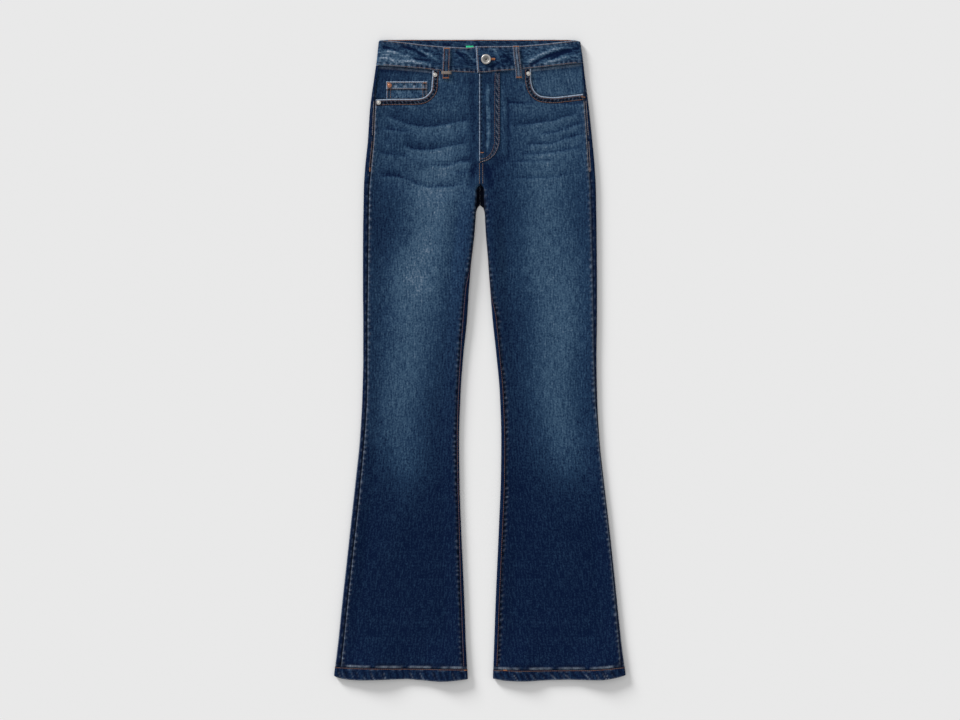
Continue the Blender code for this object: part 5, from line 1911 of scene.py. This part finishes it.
FRONT_LOOPS = (LoopPlan("belt_loop_front_right", -56.4, 531.0, -58.0, 477.8, 12.4),
               LoopPlan("belt_loop_front_left", 61.2, 534.2, 66.2, 478.9, 11.4))
LOOP_RISE = Curve((0.0, 0.12, 0.4, 0.62, 0.74, 0.84, 1.0), (0.9, 1.5, 2.1, 1.6, 0.95, 0.6, 0.35))


def inside_box(x: Array, y: Array) -> Array:
    """How far in from the nearest side each point of an even grid lies."""
    return np.minimum(np.minimum(x - x.min(), x.max() - x), np.minimum(y - y.min(), y.max() - y))


@dataclass
class Loops:
    """The five belt loops and the narrow tab over one of them."""

    legs: dict[Side, Leg]
    thickness: float = 1.1
    half_width: float = 6.0

    def on_front(self, x: Array, y: Array, lift: Array) -> Array:
        """Points on the front at plan positions."""
        right, left = (self.legs[side].skin(self.legs[side].way_at(x, y), y, lift) for side in Side)
        return np.where((x < 0)[..., None], right, left)

    def front(self, plan: LoopPlan, cloths: Cloths) -> bpy.types.Object:
        """One loop bridging the band on the front."""
        c, t = lattice(-0.5, 0.5, 15, 0.0, 1.0, 52)
        x = plan.head_x + (plan.foot_x - plan.head_x) * smooth(t) + plan.width * c
        y = plan.head_y + (plan.foot_y - plan.head_y) * t
        from_side = plan.width * (0.5 - np.abs(c))
        from_end = np.minimum(t, 1 - t) * abs(plan.head_y - plan.foot_y)
        base = LOOP_RISE(t)
        high = (base + self.thickness - rounded(from_side, 0.6) - rounded(from_end, 0.6)
                - 0.16 * bell(from_side - 2.0) + 0.14 * bell(c / 0.22))
        face = self.on_front(x, y, high)
        obj = shell(plan.name.replace("belt_loop", "loop_cloth"), face, self.on_front(x, y, base))
        pale = 0.16 if plan.head_x < 0 else 0.46
        fade = 0.30 + pale * bell(c / 0.34)
        rope = held(0.55 + 0.45 * noise1(y / 2.1, plan.width + 3.0))
        wear = held(0.70 * bell(from_side / 1.4) * rope + 0.30 * bell(from_end / 1.4)
                    + 0.9 * (pale - 0.10) * bell(c / 0.3))
        # painted shade just inside the stitch rows, down both sides of the loop
        shade = held(bell((from_side - 3.9) / 1.6) * (0.5 + 0.5 * noise1(y / 2.3, plan.width)))
        paint(obj, Marks(fade, wear, shade), joined(x, y))
        return hand_over(obj, cloths.rubbed, "dark_denim", [plan.name], Cut.of(face))

    def back(self, name: str, at: float, cloths: Cloths) -> bpy.types.Object:
        """One loop under the band at the back."""
        low, high = float(BACK_WAIST_SEAM(at)) + 0.3, float(BACK_BAND_TOP(at)) - 0.4
        x, y = lattice(at - self.half_width, at + self.half_width, 13, high, low, 40)
        from_side = self.half_width - np.abs(x - at)
        from_end = np.minimum(high - y, y - low)
        z = rounded(from_side, 0.4) + rounded(from_end, 0.4)
        face = joined(x, y, z)
        obj = shell(name.replace("belt_loop", "loop_cloth"), face, joined(x, y, 1.0))
        wear = held(0.40 * bell(from_side / 1.4) + 0.30 * bell(from_end / 1.4))
        paint(obj, Marks(0.34, wear, 0.0), joined(x, y))
        return hand_over(obj, cloths.denim, "dark_denim", [name], Cut.of(face))

    def keeper(self, cloths: Cloths) -> bpy.types.Object:
        """The cross tab over the foot of the right front loop."""
        low, high, left, right = 485.6, 490.6, -65.4, -48.6
        at = Curve((left, -61.0, -56.0, -51.4, -50.0, right), (2.5, 2.5, 2.5, 2.4, 0.9, 0.5))
        x, y = lattice(left, right, 40, high, low, 11)
        base = at(x)
        top = base + 0.8 - rounded(inside_box(x, y), 0.4)
        obj = shell("keeper_tab", self.on_front(x, y, top), self.on_front(x, y, base))
        return hand_over(obj, cloths.keeper, "keeper_tape", ["loop_keeper"])


@dataclass
class BackPockets:
    """The two patch pockets, under the seat."""

    thickness: float = 0.9
    centre: Point = (101.4, 356.8)
    fit: float = 0.994

    def build(self, side: Side, cloths: Cloths) -> bpy.types.Object:
        """Make one pocket."""
        name = "back_pocket_" + side.word
        s, t = lattice(0.0, 1.0, 52, 0.0, 1.0, 50)
        top_left, top_right, foot_right, tip, foot_left = BACK_POCKET
        tip_at = (tip[0] - foot_left[0]) / (foot_right[0] - foot_left[0])
        foot_y = np.interp(s, (0.0, tip_at, 1.0), (foot_left[1], tip[1], foot_right[1]))
        top_x, top_y = mix(top_left[0], top_right[0], s), mix(top_left[1], top_right[1], s)
        x = mix(top_x, mix(foot_left[0], foot_right[0], s), t)
        y = mix(top_y, foot_y, t)
        (cx, cy), fit = self.centre, self.fit
        x, y = mix(cx, x, fit), mix(cy, y, fit)
        away = -outline_distance([(mix(cx, a, fit), mix(cy, b, fit)) for a, b in BACK_POCKET], x, y)
        away = np.maximum(away, 0.0)
        top = top_y - y
        face = joined(side.value * x, y, rounded(away, 0.4) + 0.06 * bell(away - 2.0))
        obj = shell("pocket_patch_" + side.word, face, joined(side.value * x, y, self.thickness))
        fade = 0.46 + 0.22 * bell((away - 40.0) / 40.0) + 0.05 * noise1(x / 14.0, 1.0)
        wear = held(0.42 * bell(away / 1.8))
        # painted shade along the top row of stitches, 15 mm below the pocket's top
        shade = 0.20 * bell((top - 15.0) / 1.2)
        paint(obj, Marks(fade, wear, shade), joined(x, y))
        return hand_over(obj, cloths.denim, "denim", [name], Cut.of(face))


@dataclass
class Label:
    """The small plain woven tag inside the back of the band."""

    low: tuple[float, float, float] = (-23.8, 522.0, 2.7)
    high: tuple[float, float, float] = (-6.4, 534.6, 3.2)

    def build(self, cloths: Cloths) -> bpy.types.Object:
        """Make the tag."""
        x, y = lattice(self.low[0], self.high[0], 24, self.high[1], self.low[1], 20)
        top = self.high[2] + 0.08 * noise1(x / 5.0, 1.0) - rounded(inside_box(x, y), 0.25)
        obj = shell("woven_tag", joined(x, y, top), joined(x, y, self.low[2]))
        return hand_over(obj, cloths.tag, "label_weave", ["label"])


# ------------------------------------------------------------------ fasteners

@dataclass
class Fastener:
    """A turned metal fastener: a cylinder shaped by insets and pulls on its upper face."""

    name: str
    leg: Leg
    x: float
    y: float
    radius: float
    stand: float
    rim: float
    turns: Sequence[Point]
    slot: str = "pewter"
    # hollow: share of the radius within which a button's well is darkened as painted shade
    hollow: float = 0.0

    def build(self, material: bpy.types.Material) -> bpy.types.Object:
        """Make the fastener on the face of the cloth.

        Args:
            material: its finish.

        Returns:
            The fastener.
        """
        base = self.leg.skin(self.leg.way_at(self.x, self.y), self.y, self.stand)
        place = (base + (SHIFT_X, SHIFT_Y, 0.0)) * MM
        bpy.ops.object.select_all(action="DESELECT")
        bpy.ops.mesh.primitive_cylinder_add(vertices=40, radius=self.radius * MM, depth=self.rim * MM,
                                            location=(place[0], place[1], place[2] + self.rim * MM / 2))
        obj = bpy.context.object
        obj.name = obj.data.name = self.name + "_cap"
        bpy.ops.object.mode_set(mode="EDIT")
        bpy.ops.mesh.select_mode(type="FACE")
        bpy.ops.mesh.select_all(action="DESELECT")
        bpy.ops.object.mode_set(mode="OBJECT")
        for face in obj.data.polygons:
            face.select = face.normal.z > 0.9
        bpy.ops.object.mode_set(mode="EDIT")
        for inset, pull in self.turns:
            bpy.ops.mesh.inset(thickness=inset * MM, depth=0.0)
            bpy.ops.transform.translate(value=(0.0, 0.0, pull * MM))
        bpy.ops.object.mode_set(mode="OBJECT")
        soften = obj.modifiers.new("soften", "BEVEL")
        soften.width, soften.segments, soften.limit_method = 0.22 * MM, 2, "ANGLE"
        soften.angle_limit = math.radians(38.0)
        bpy.ops.object.modifier_apply(modifier=soften.name)
        bpy.ops.object.transform_apply(location=True, rotation=True, scale=True)
        bpy.ops.object.shade_smooth_by_angle(angle=math.radians(40.0))
        points = np.empty(len(obj.data.vertices) * 3)
        obj.data.vertices.foreach_get("co", points)
        points = points.reshape(-1, 3) / MM
        out = np.hypot(points[:, 0] - points[:, 0].mean(), points[:, 1] - points[:, 1].mean()) / self.radius
        # tarnish attribute: darker toward the cap's rim; on the button, the well and its centre are painted
        # shade in the recess
        hollow = 0.35 * smooth((out - 0.86) / 0.1)
        if self.hollow:
            hollow = hollow + 0.55 * smooth((self.hollow - out) / 0.08) + 0.40 * smooth((0.22 - out) / 0.08)
        obj.data.attributes.new("tarnish", "FLOAT", "POINT").data.foreach_set("value", hollow)
        return hand_over(obj, material, self.slot, [self.name])


# each turn of a cap's face: how far it is set in, and how far it is pulled up
BUTTON_TURNS = ((0.7, 0.5), (0.7, 0.25), (1.2, -0.35), (0.6, -0.45), (2.3, -0.1), (0.5, -0.7), (1.1, 0.0),
                (0.3, 0.55))
RIVET_TURNS = ((0.45, 0.35), (0.7, -0.05), (0.9, -0.25), (0.5, 0.4), (0.5, 0.15))
MOUTH_RIVETS = (("right_top", -76.3, 484.8), ("right_side", -171.9, 437.7), ("left_top", 82.4, 486.7))


# ------------------------------------------------------------------ sewing

DOWN = (0.0, 0.0, -1.0)
STITCH_AT = np.array([0.0, 0.14, 0.5, 0.86, 1.0])           # rings along a stitch
STITCH_SWELL = np.array([0.45, 0.92, 1.0, 0.92, 0.45])      # their radius, and how far out they lie
STITCH_RISE = np.array([-0.55, 0.10, 0.32, 0.10, -0.55])
STITCH_SIDES = 6
STITCH_POINTS = len(STITCH_AT) * STITCH_SIDES
TACK_PITCH, TACK_LEAN, TACK_RISE = 0.62, 0.45, 0.12         # a bar tack's cross stitches


@dataclass
class Stitches:
    """Rows of thread, each stitch a short rounded length that dips into the cloth at its ends."""

    name: str
    radius: float = 0.46
    length: float = 3.0
    pitch: float = 3.3
    points: list[Array] = field(default_factory=list)
    tones: list[Array] = field(default_factory=list)

    def run(self, path: Array, normal: Array, tone: float) -> None:
        """Sew a row.

        Args:
            path: points along the row, on the cloth's face.
            normal: the way out of the cloth at each.
            tone: 0 for worn pale thread, 1 for brown, 2 for fresh.
        """
        run = np.concatenate([[0.0], np.cumsum(np.linalg.norm(np.diff(path, axis=0), axis=1))])
        count = int(run[-1] / self.pitch)
        if count < 1:
            return
        starts = (np.arange(count) + 0.5) * run[-1] / count - self.length / 2
        at = starts[:, None] + STITCH_AT[None, :] * self.length
        centre = np.stack([np.interp(at, run, path[:, k]) for k in range(3)], axis=-1)
        out = np.stack([np.interp(at, run, normal[:, k]) for k in range(3)], axis=-1)
        self.sew(centre, out, np.full(count, tone))

    def sew(self, centre: Array, out: Array, tone: Array) -> None:
        """Add stitches given by five points each.

        Args:
            centre: stitches by points by coordinates.
            out: the way out of the cloth at each.
            tone: the tone of each stitch.
        """
        out = out / np.maximum(np.linalg.norm(out, axis=-1, keepdims=True), 1e-9)
        ahead = np.gradient(centre, axis=1)
        ahead /= np.maximum(np.linalg.norm(ahead, axis=-1, keepdims=True), 1e-9)
        across = np.cross(ahead, out)
        swell = STITCH_SWELL[None, :, None, None] * self.radius
        middle = centre + out * (STITCH_RISE[None, :, None] * self.radius)
        angle = np.arange(STITCH_SIDES) * 2.0 * math.pi / STITCH_SIDES
        ring = (across[:, :, None, :] * np.cos(angle)[None, None, :, None]
                + out[:, :, None, :] * np.sin(angle)[None, None, :, None] * 0.8)
        self.points.append((middle[:, :, None, :] + ring * swell).reshape(len(centre), STITCH_POINTS, 3))
        index = len(self.tones) * 3.1
        wobble = 0.24 * noise1(np.arange(len(centre)) * 1.3 + index, 2.0)
        self.tones.append(np.clip(tone + wobble, 0, 2))

    def on_skin(self, leg: Leg, way: Array, y: Array, lift: Any, tone: float, outward: float = 1.0) -> None:
        """Sew a row on a leg's skin.

        Args:
            leg: the side.
            way: lengths round the section.
            y: heights.
            lift: how far the cloth's face stands off the skin.
            tone: the thread's tone.
            outward: -1 for a row on the inner face.
        """
        way, y = np.broadcast_arrays(np.asarray(way, dtype=float), np.asarray(y, dtype=float))
        here = leg.skin(way, y, lift)
        beyond = leg.skin(way, y, np.asarray(lift) + 1.0)
        self.run(here, (beyond - here) * outward, tone)

    def on_front(self, legs: dict[Side, Leg], plan: Array, lift: float, tone: float) -> None:
        """Sew a row on the front along a plan line that stays on one side."""
        leg = legs[Side.at(plan[:, 0].mean())]
        self.on_skin(leg, leg.way_at(plan[:, 0], plan[:, 1]), plan[:, 1], lift, tone)

    def under(self, plan: Array, z: float, tone: float) -> None:
        """Sew a row on the underside, along a plan line."""
        path = np.concatenate([plan, np.full((len(plan), 1), z)], axis=1)
        self.run(path, np.tile(DOWN, (len(plan), 1)), tone)

    def tack(self, leg: Leg, start: Point, end: Point, width: float, lift: float,
             tone: float = 1.5) -> None:
        """Sew a bar tack: close stitches laid across a short line.

        Args:
            leg: the side.
            start: one end of the bar, in plan.
            end: the other.
            width: how long each cross stitch is.
            lift: height of the cloth's face off the skin.
            tone: the thread's tone.
        """
        a, b = np.array(start), np.array(end)
        size = float(np.linalg.norm(b - a))
        count = max(3, int(size / TACK_PITCH))
        ahead = (b - a) / size
        across = np.array([-ahead[1], ahead[0]])
        u = np.linspace(-0.5, 0.5, len(STITCH_AT))
        centre = []
        for k in range(count):
            middle = a + ahead * size * (k + 0.5) / count
            lean = ahead * (TACK_LEAN if k % 2 else -TACK_LEAN)
            centre.append([middle + (across * width + lean) * v for v in u])
        plan = np.array(centre)
        way = leg.way_at(plan[..., 0], plan[..., 1])
        here = leg.skin(way, plan[..., 1], lift + TACK_RISE)
        beyond = leg.skin(way, plan[..., 1], lift + TACK_RISE + 1.0)
        self.sew(here, beyond - here, np.full(count, tone))

    def build(self, cloths: Cloths) -> bpy.types.Object:
        """Make all the rows as one piece."""
        points = np.concatenate(self.points)
        count = len(points)
        faces: list[tuple[int, ...]] = []
        for k in range(count):
            base = k * STITCH_POINTS
            last = base + STITCH_POINTS - STITCH_SIDES
            for low in range(base, last, STITCH_SIDES):
                high = low + STITCH_SIDES
                for s in range(STITCH_SIDES):
                    n = (s + 1) % STITCH_SIDES
                    faces.append((low + s, low + n, high + n, high + s))
            faces.append(tuple(base + s for s in reversed(range(STITCH_SIDES))))
            faces.append(tuple(last + s for s in range(STITCH_SIDES)))
        obj = to_mesh(self.name, points.reshape(-1, 3), faces)
        bpy.context.view_layer.objects.active = obj
        bpy.ops.object.select_all(action="DESELECT")
        obj.select_set(True)
        bpy.ops.object.mode_set(mode="EDIT")
        bpy.ops.mesh.select_all(action="SELECT")
        bpy.ops.mesh.normals_make_consistent(inside=False)
        bpy.ops.object.mode_set(mode="OBJECT")
        store = obj.data.attributes.new("tone", "FLOAT", "POINT")
        store.data.foreach_set("value", np.repeat(np.concatenate(self.tones), STITCH_POINTS))
        return hand_over(obj, cloths.thread)


FRONT_TACKS = (
    # ends of the bar, length of its stitches, lift and tone
    ((16.6, 511.4), (25.6, 511.2), 3.8, 1.9, 1.9),          # buttonhole
    ((0.8, 352.8), (6.0, 352.8), 1.8, 1.4, 1.5),            # foot of the fly
    ((172.0, 447.4), (178.4, 446.4), 2.4, 0.35, 1.2),       # side of the left pocket mouth
    ((-96.5, 471.4), (-90.5, 471.4), 2.0, -0.4, 1.4),       # corners of the coin pocket
    ((-158.5, 471.4), (-153.5, 471.4), 2.0, -0.4, 1.4),
)


@dataclass
class Sewing:
    """All the topstitching and bar tacks."""

    legs: dict[Side, Leg]
    mouths: dict[Side, MouthBand]
    band: Waistband

    def legs_and_hems(self, cloths: Cloths) -> None:
        """Outseams, inseams, hems and the crotch seam."""
        out, inn = Stitches("stitching_outseams", radius=0.38), Stitches("stitching_inseams", radius=0.34)
        foot = Stitches("stitching_hems", radius=0.42)
        for leg in self.legs.values():
            facing = leg.side is Side.RIGHT
            browned = 0.8 if facing else 0.0
            for high, low, away, tone in ((440.0, 382.0, -2.8, 0.0), (372.0, 322.0, -2.8, browned),
                                          (440.0, 322.0, 0.6, 0.0)):
                y = np.linspace(high, low, int(high - low))
                out.on_skin(leg, leg.outseam_way(y) + away, y, 0.10, tone)
            x = leg.sign * float(leg.read("outer", 324.0) - leg.read("outseam", 324.0) + 2.0)
            out.tack(leg, (x, 327.5), (x, 320.5), 1.8, 0.15, 1.6 if facing else 0.4)
            y = np.linspace(252.0, -519.0, 520)
            way = -(leg.inner_start(y) + leg.back_end(y) - 1.5)
            inn.on_skin(leg, way, y, -0.06, 1.0)
            hem = Hem(leg)
            y = HEM_SEAM(hem.columns_x()) - 1.5
            way = ways(hem.spans(), y)[0]
            y = y[0]
            foot.on_skin(leg, way, y, (hem.rise + 0.25) * leg.on_top(way, y) - 0.20, 1.05)
            x = 42.5 if leg.side is Side.LEFT else -23.8
            foot.tack(leg, (x - 3.0, -525.6), (x + 3.0, -525.6), 1.6, 0.5, 1.7)
        centre = Stitches("stitching_crotch")
        for x in (-0.9, 4.6):
            y = np.linspace(335.0, 300.0, 30)
            leg = self.legs[Side.at(x)]
            centre.on_skin(leg, leg.way_at(x, y), y, 0.10, 0.7)
        for stitches in (out, inn, foot, centre):
            stitches.build(cloths)

    def waist(self, cloths: Cloths) -> None:
        """The band, inside and out."""
        rows = Stitches("stitching_band")
        for leg in self.legs.values():
            inner = -3.6 if leg.side is Side.LEFT else -8.6
            x = np.linspace(inner, leg.sign * 164.0, 170)
            for edge, away, tone in ((FRONT_BAND_TOP, -1.5, 0.40), (FRONT_WAIST_SEAM, 1.6, 0.80)):
                y = edge(x) + away
                way = leg.way_at(x, y)
                rows.on_skin(leg, way, y, self.band.lift(leg, x, way) - 0.10, tone)
            x = np.linspace(0.0, leg.sign * 156.0, 120)
            for edge, away in ((BACK_BAND_TOP, -1.0), (BACK_WAIST_SEAM, 2.6)):
                y = edge(x) + away
                rows.on_skin(leg, -leg.way_at(x, y), y, -self.band.thickness + 0.10, 2.0, -1.0)
                path = joined(x, y, under_rise(x, y) + UNDER_ROW)
                rows.run(path, np.tile(DOWN, (len(x), 1)), 1.2)
        left = self.legs[Side.LEFT]
        y = np.linspace(FRONT_BAND_TOP(-2.4) - 2.4, FRONT_WAIST_SEAM(-2.4) + 2.4, 30)
        x = self.band.end_at(y) + 2.6
        way = left.way_at(x, y)
        rows.on_skin(left, way, y, self.band.lift(left, x, way) - 0.05, 0.2)
        rows.build(cloths)

    def loops_and_tacks(self, cloths: Cloths) -> None:
        """The belt loops and the bar tacks of the front."""
        loops = Stitches("stitching_loops", length=2.7, pitch=3.1)
        tacks = Stitches("bar_tacks", radius=0.38)
        for plan in FRONT_LOOPS:
            leg = self.legs[Side.at(plan.head_x)]
            t = np.linspace(0.06, 0.94, 60)
            for aside in (-1, 1):
                x = plan.head_x + (plan.foot_x - plan.head_x) * smooth(t) + aside * (plan.width / 2 - 2.0)
                y = plan.head_y + (plan.foot_y - plan.head_y) * t
                tone = 1.25 if plan.head_x < 0 else 0.45
                loops.on_skin(leg, leg.way_at(x, y), y, LOOP_RISE(t) + 0.98, tone)
            half = plan.width / 2 - 1.0
            for x, y, lift in ((plan.head_x, plan.head_y - 1.7, 2.1), (plan.foot_x, plan.foot_y + 1.7, 1.5)):
                tacks.tack(leg, (x - half, y), (x + half, y), 2.2, lift)
        for at in BACK_LOOP_X:
            for aside in (-3.6, 3.6):
                plan = joined(np.full(30, at + aside), np.linspace(541.0, 509.0, 30))
                loops.under(plan, UNDER_ROW, 1.2)
        for start, end, width, lift, tone in FRONT_TACKS:
            tacks.tack(self.legs[Side.at(start[0])], start, end, width, lift, tone)
        loops.build(cloths)
        tacks.build(cloths)

    def pockets(self, cloths: Cloths) -> None:
        """The pocket mouths, the coin pocket, the fly and the back."""
        rows = Stitches("stitching_pockets")
        for side, mouth in self.mouths.items():
            for away, tone in ((2.9, 1.05), (9.4, 1.15)):
                rows.on_front(self.legs, mouth.offset(away), 0.10, tone)
        right = self.legs[Side.RIGHT]
        for x in (-157.0, -151.8, -97.0, -91.6):
            y = np.linspace(471.6, 446.0, 30)
            rows.on_skin(right, right.way_at(x, y), y, -0.62, 1.1)
        x = np.linspace(-157.5, -91.0, 60)
        for level, tone in ((471.9, 0.2), (461.3, 0.85)):
            y = np.full(60, level)
            rows.on_skin(right, right.way_at(x, y), y, -0.50, tone)
        rows.build(cloths)
        fly = Stitches("stitching_fly", radius=0.50)
        left = self.legs[Side.LEFT]
        inner = ((25.8, 488.0), (24.9, 443.0), (24.9, 373.0), (19.0, 352.4), (8.4, 343.4), (-0.2, 341.8))
        outer = ((32.4, 488.0), (32.2, 443.0), (32.2, 373.0), (27.2, 355.0), (14.4, 341.6), (-0.2, 336.4))
        for line, lift in ((inner, 0.80), (outer, 0.42)):
            tone = 0.5 if lift < 0.5 else 0.9
            plan = along_line(line, 1.5)
            fly.on_skin(left, left.way_at(plan[:, 0], plan[:, 1]), plan[:, 1], lift, tone)
        fly.build(cloths)
        back = Stitches("stitching_back", radius=0.36)
        shape = np.array(BACK_POCKET, dtype=float)
        centre = shape.mean(axis=0)
        for side in Side:
            for share in (0.975, 0.915):
                corners = centre + (shape - centre) * share
                loop = np.concatenate([corners[1:], corners[:1]])
                sides = [np.linspace(a, b, 40, endpoint=False) for a, b in zip(loop[:-1], loop[1:])]
                plan = np.concatenate(sides)
                back.under(plan * (side.value, 1.0), UNDER_ROW, 1.2)
            top = np.linspace(shape[0], shape[1], 60) + (0.0, -14.0)
            keep = (top[:, 0] > 42.0) & (top[:, 0] < 158.0)
            back.under(top[keep] * (side.value, 1.0), UNDER_ROW, 1.2)
            x = np.linspace(2.0, 172.0, 120)
            for away in (1.8, 7.6):
                back.under(joined(side.value * x, yoke_seam_y(x) - away), UNDER_ROW, 1.2)
        for x in (1.8, 7.4):
            back.under(joined(np.full(90, x), np.linspace(434.0, 264.0, 90)), UNDER_ROW, 1.2)
        back.build(cloths)


# ------------------------------------------------------------------ studio

@dataclass
class Studio:
    """A plain sheet, one large soft lamp from the upper left, and the camera straight above."""

    height: float = 4000.0
    frame_width: float = 1632.0
    view_y: float = 0.85
    elevation: float = 16.0
    heading: float = 129.0
    softness: float = 16.0
    sky: float = 0.62
    sheet: float = 14.0

    def build(self, cloths: Cloths) -> None:
        """Lay the sheet, hang the lamp and set the camera."""
        bpy.ops.object.select_all(action="DESELECT")
        bpy.ops.mesh.primitive_plane_add(size=self.sheet, location=(0.0, 0.0, -FLOOR_DROP * MM))
        floor = bpy.context.object
        floor.name = "floor"
        bpy.ops.object.transform_apply(location=True, rotation=True, scale=True)
        floor.data.materials.append(cloths.paper)
        scene = bpy.context.scene
        world = bpy.data.worlds.new("studio")
        world.use_nodes = True
        world.node_tree.nodes["Background"].inputs["Color"].default_value = (1.0, 1.0, 1.0, 1.0)
        world.node_tree.nodes["Background"].inputs["Strength"].default_value = self.sky
        scene.world = world
        lamp = bpy.data.lights.new("softbox", "SUN")
        lamp.energy = (1.0 - self.sky) * math.pi / math.sin(math.radians(self.elevation))
        lamp.angle = math.radians(self.softness)
        sun = bpy.data.objects.new("softbox", lamp)
        around, up = math.radians(self.heading), math.radians(self.elevation)
        toward = Vector((math.cos(around) * math.cos(up), math.sin(around) * math.cos(up), math.sin(up)))
        sun.rotation_euler = toward.to_track_quat("Z", "Y").to_euler()
        scene.collection.objects.link(sun)
        camera = bpy.data.cameras.new("camera")
        camera.sensor_width = 36.0
        camera.lens = camera.sensor_width * self.height / self.frame_width
        camera.clip_end = 100.0
        eye = bpy.data.objects.new("camera", camera)
        eye.location = (SHIFT_X * MM, self.view_y * MM, self.height * MM)
        scene.collection.objects.link(eye)
        scene.camera = eye
        scene.view_settings.view_transform = "Standard"


def main() -> None:
    """Set up the studio, then build every piece of the jeans in order."""
    cloths = Cloths()
    Studio().build(cloths)
    legs = {side: Leg(side) for side in Side}
    mouths = {side: MouthBand(leg, MOUTHS[side]) for side, leg in legs.items()}
    for side, leg in legs.items():
        Back(leg).build(cloths)
        FrontPanel(leg).build(cloths, mouths[side])
        mouths[side].build(cloths)
        Hem(leg).build(cloths)
        Facing(leg, mouths[side].line).build(cloths)
        BackPockets().build(side, cloths)
    CoinPocket(legs[Side.RIGHT]).build(cloths)
    band = Waistband(legs[Side.RIGHT], legs[Side.LEFT])
    band.build(cloths)
    Fly(legs[Side.LEFT]).build(cloths)
    loops = Loops(legs)
    for plan in FRONT_LOOPS:
        loops.front(plan, cloths)
    for place, at in zip(("side_right", "centre_back", "side_left"), BACK_LOOP_X):
        loops.back("belt_loop_" + place, at, cloths)
    loops.keeper(cloths)
    Label().build(cloths)
    sewing = Sewing(legs, mouths, band)
    sewing.legs_and_hems(cloths)
    sewing.waist(cloths)
    sewing.loops_and_tacks(cloths)
    sewing.pockets(cloths)
    button = Fastener("button", legs[Side.LEFT], 10.3, 510.9, 8.4, 2.1, 1.9, BUTTON_TURNS, hollow=0.72)
    button.build(cloths.pewter)
    for place, x, y in MOUTH_RIVETS:
        rivet = Fastener("rivet_mouth_" + place, legs[Side.at(x)], x, y, 3.8, 0.4, 0.8, RIVET_TURNS)
        rivet.build(cloths.pewter)
    coin_rivet = Fastener("rivet_coin_pocket", legs[Side.RIGHT], -153.9, 467.1, 4.2, -0.3, 0.8, RIVET_TURNS,
                          "copper")
    coin_rivet.build(cloths.copper)
    zip_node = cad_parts["zip"]
    zip_node.data.materials.clear()
    zip_node.data.materials.append(cloths.tape)
    LOG.info("zip: carried over, taped")


if __name__ == "__main__":
    main()
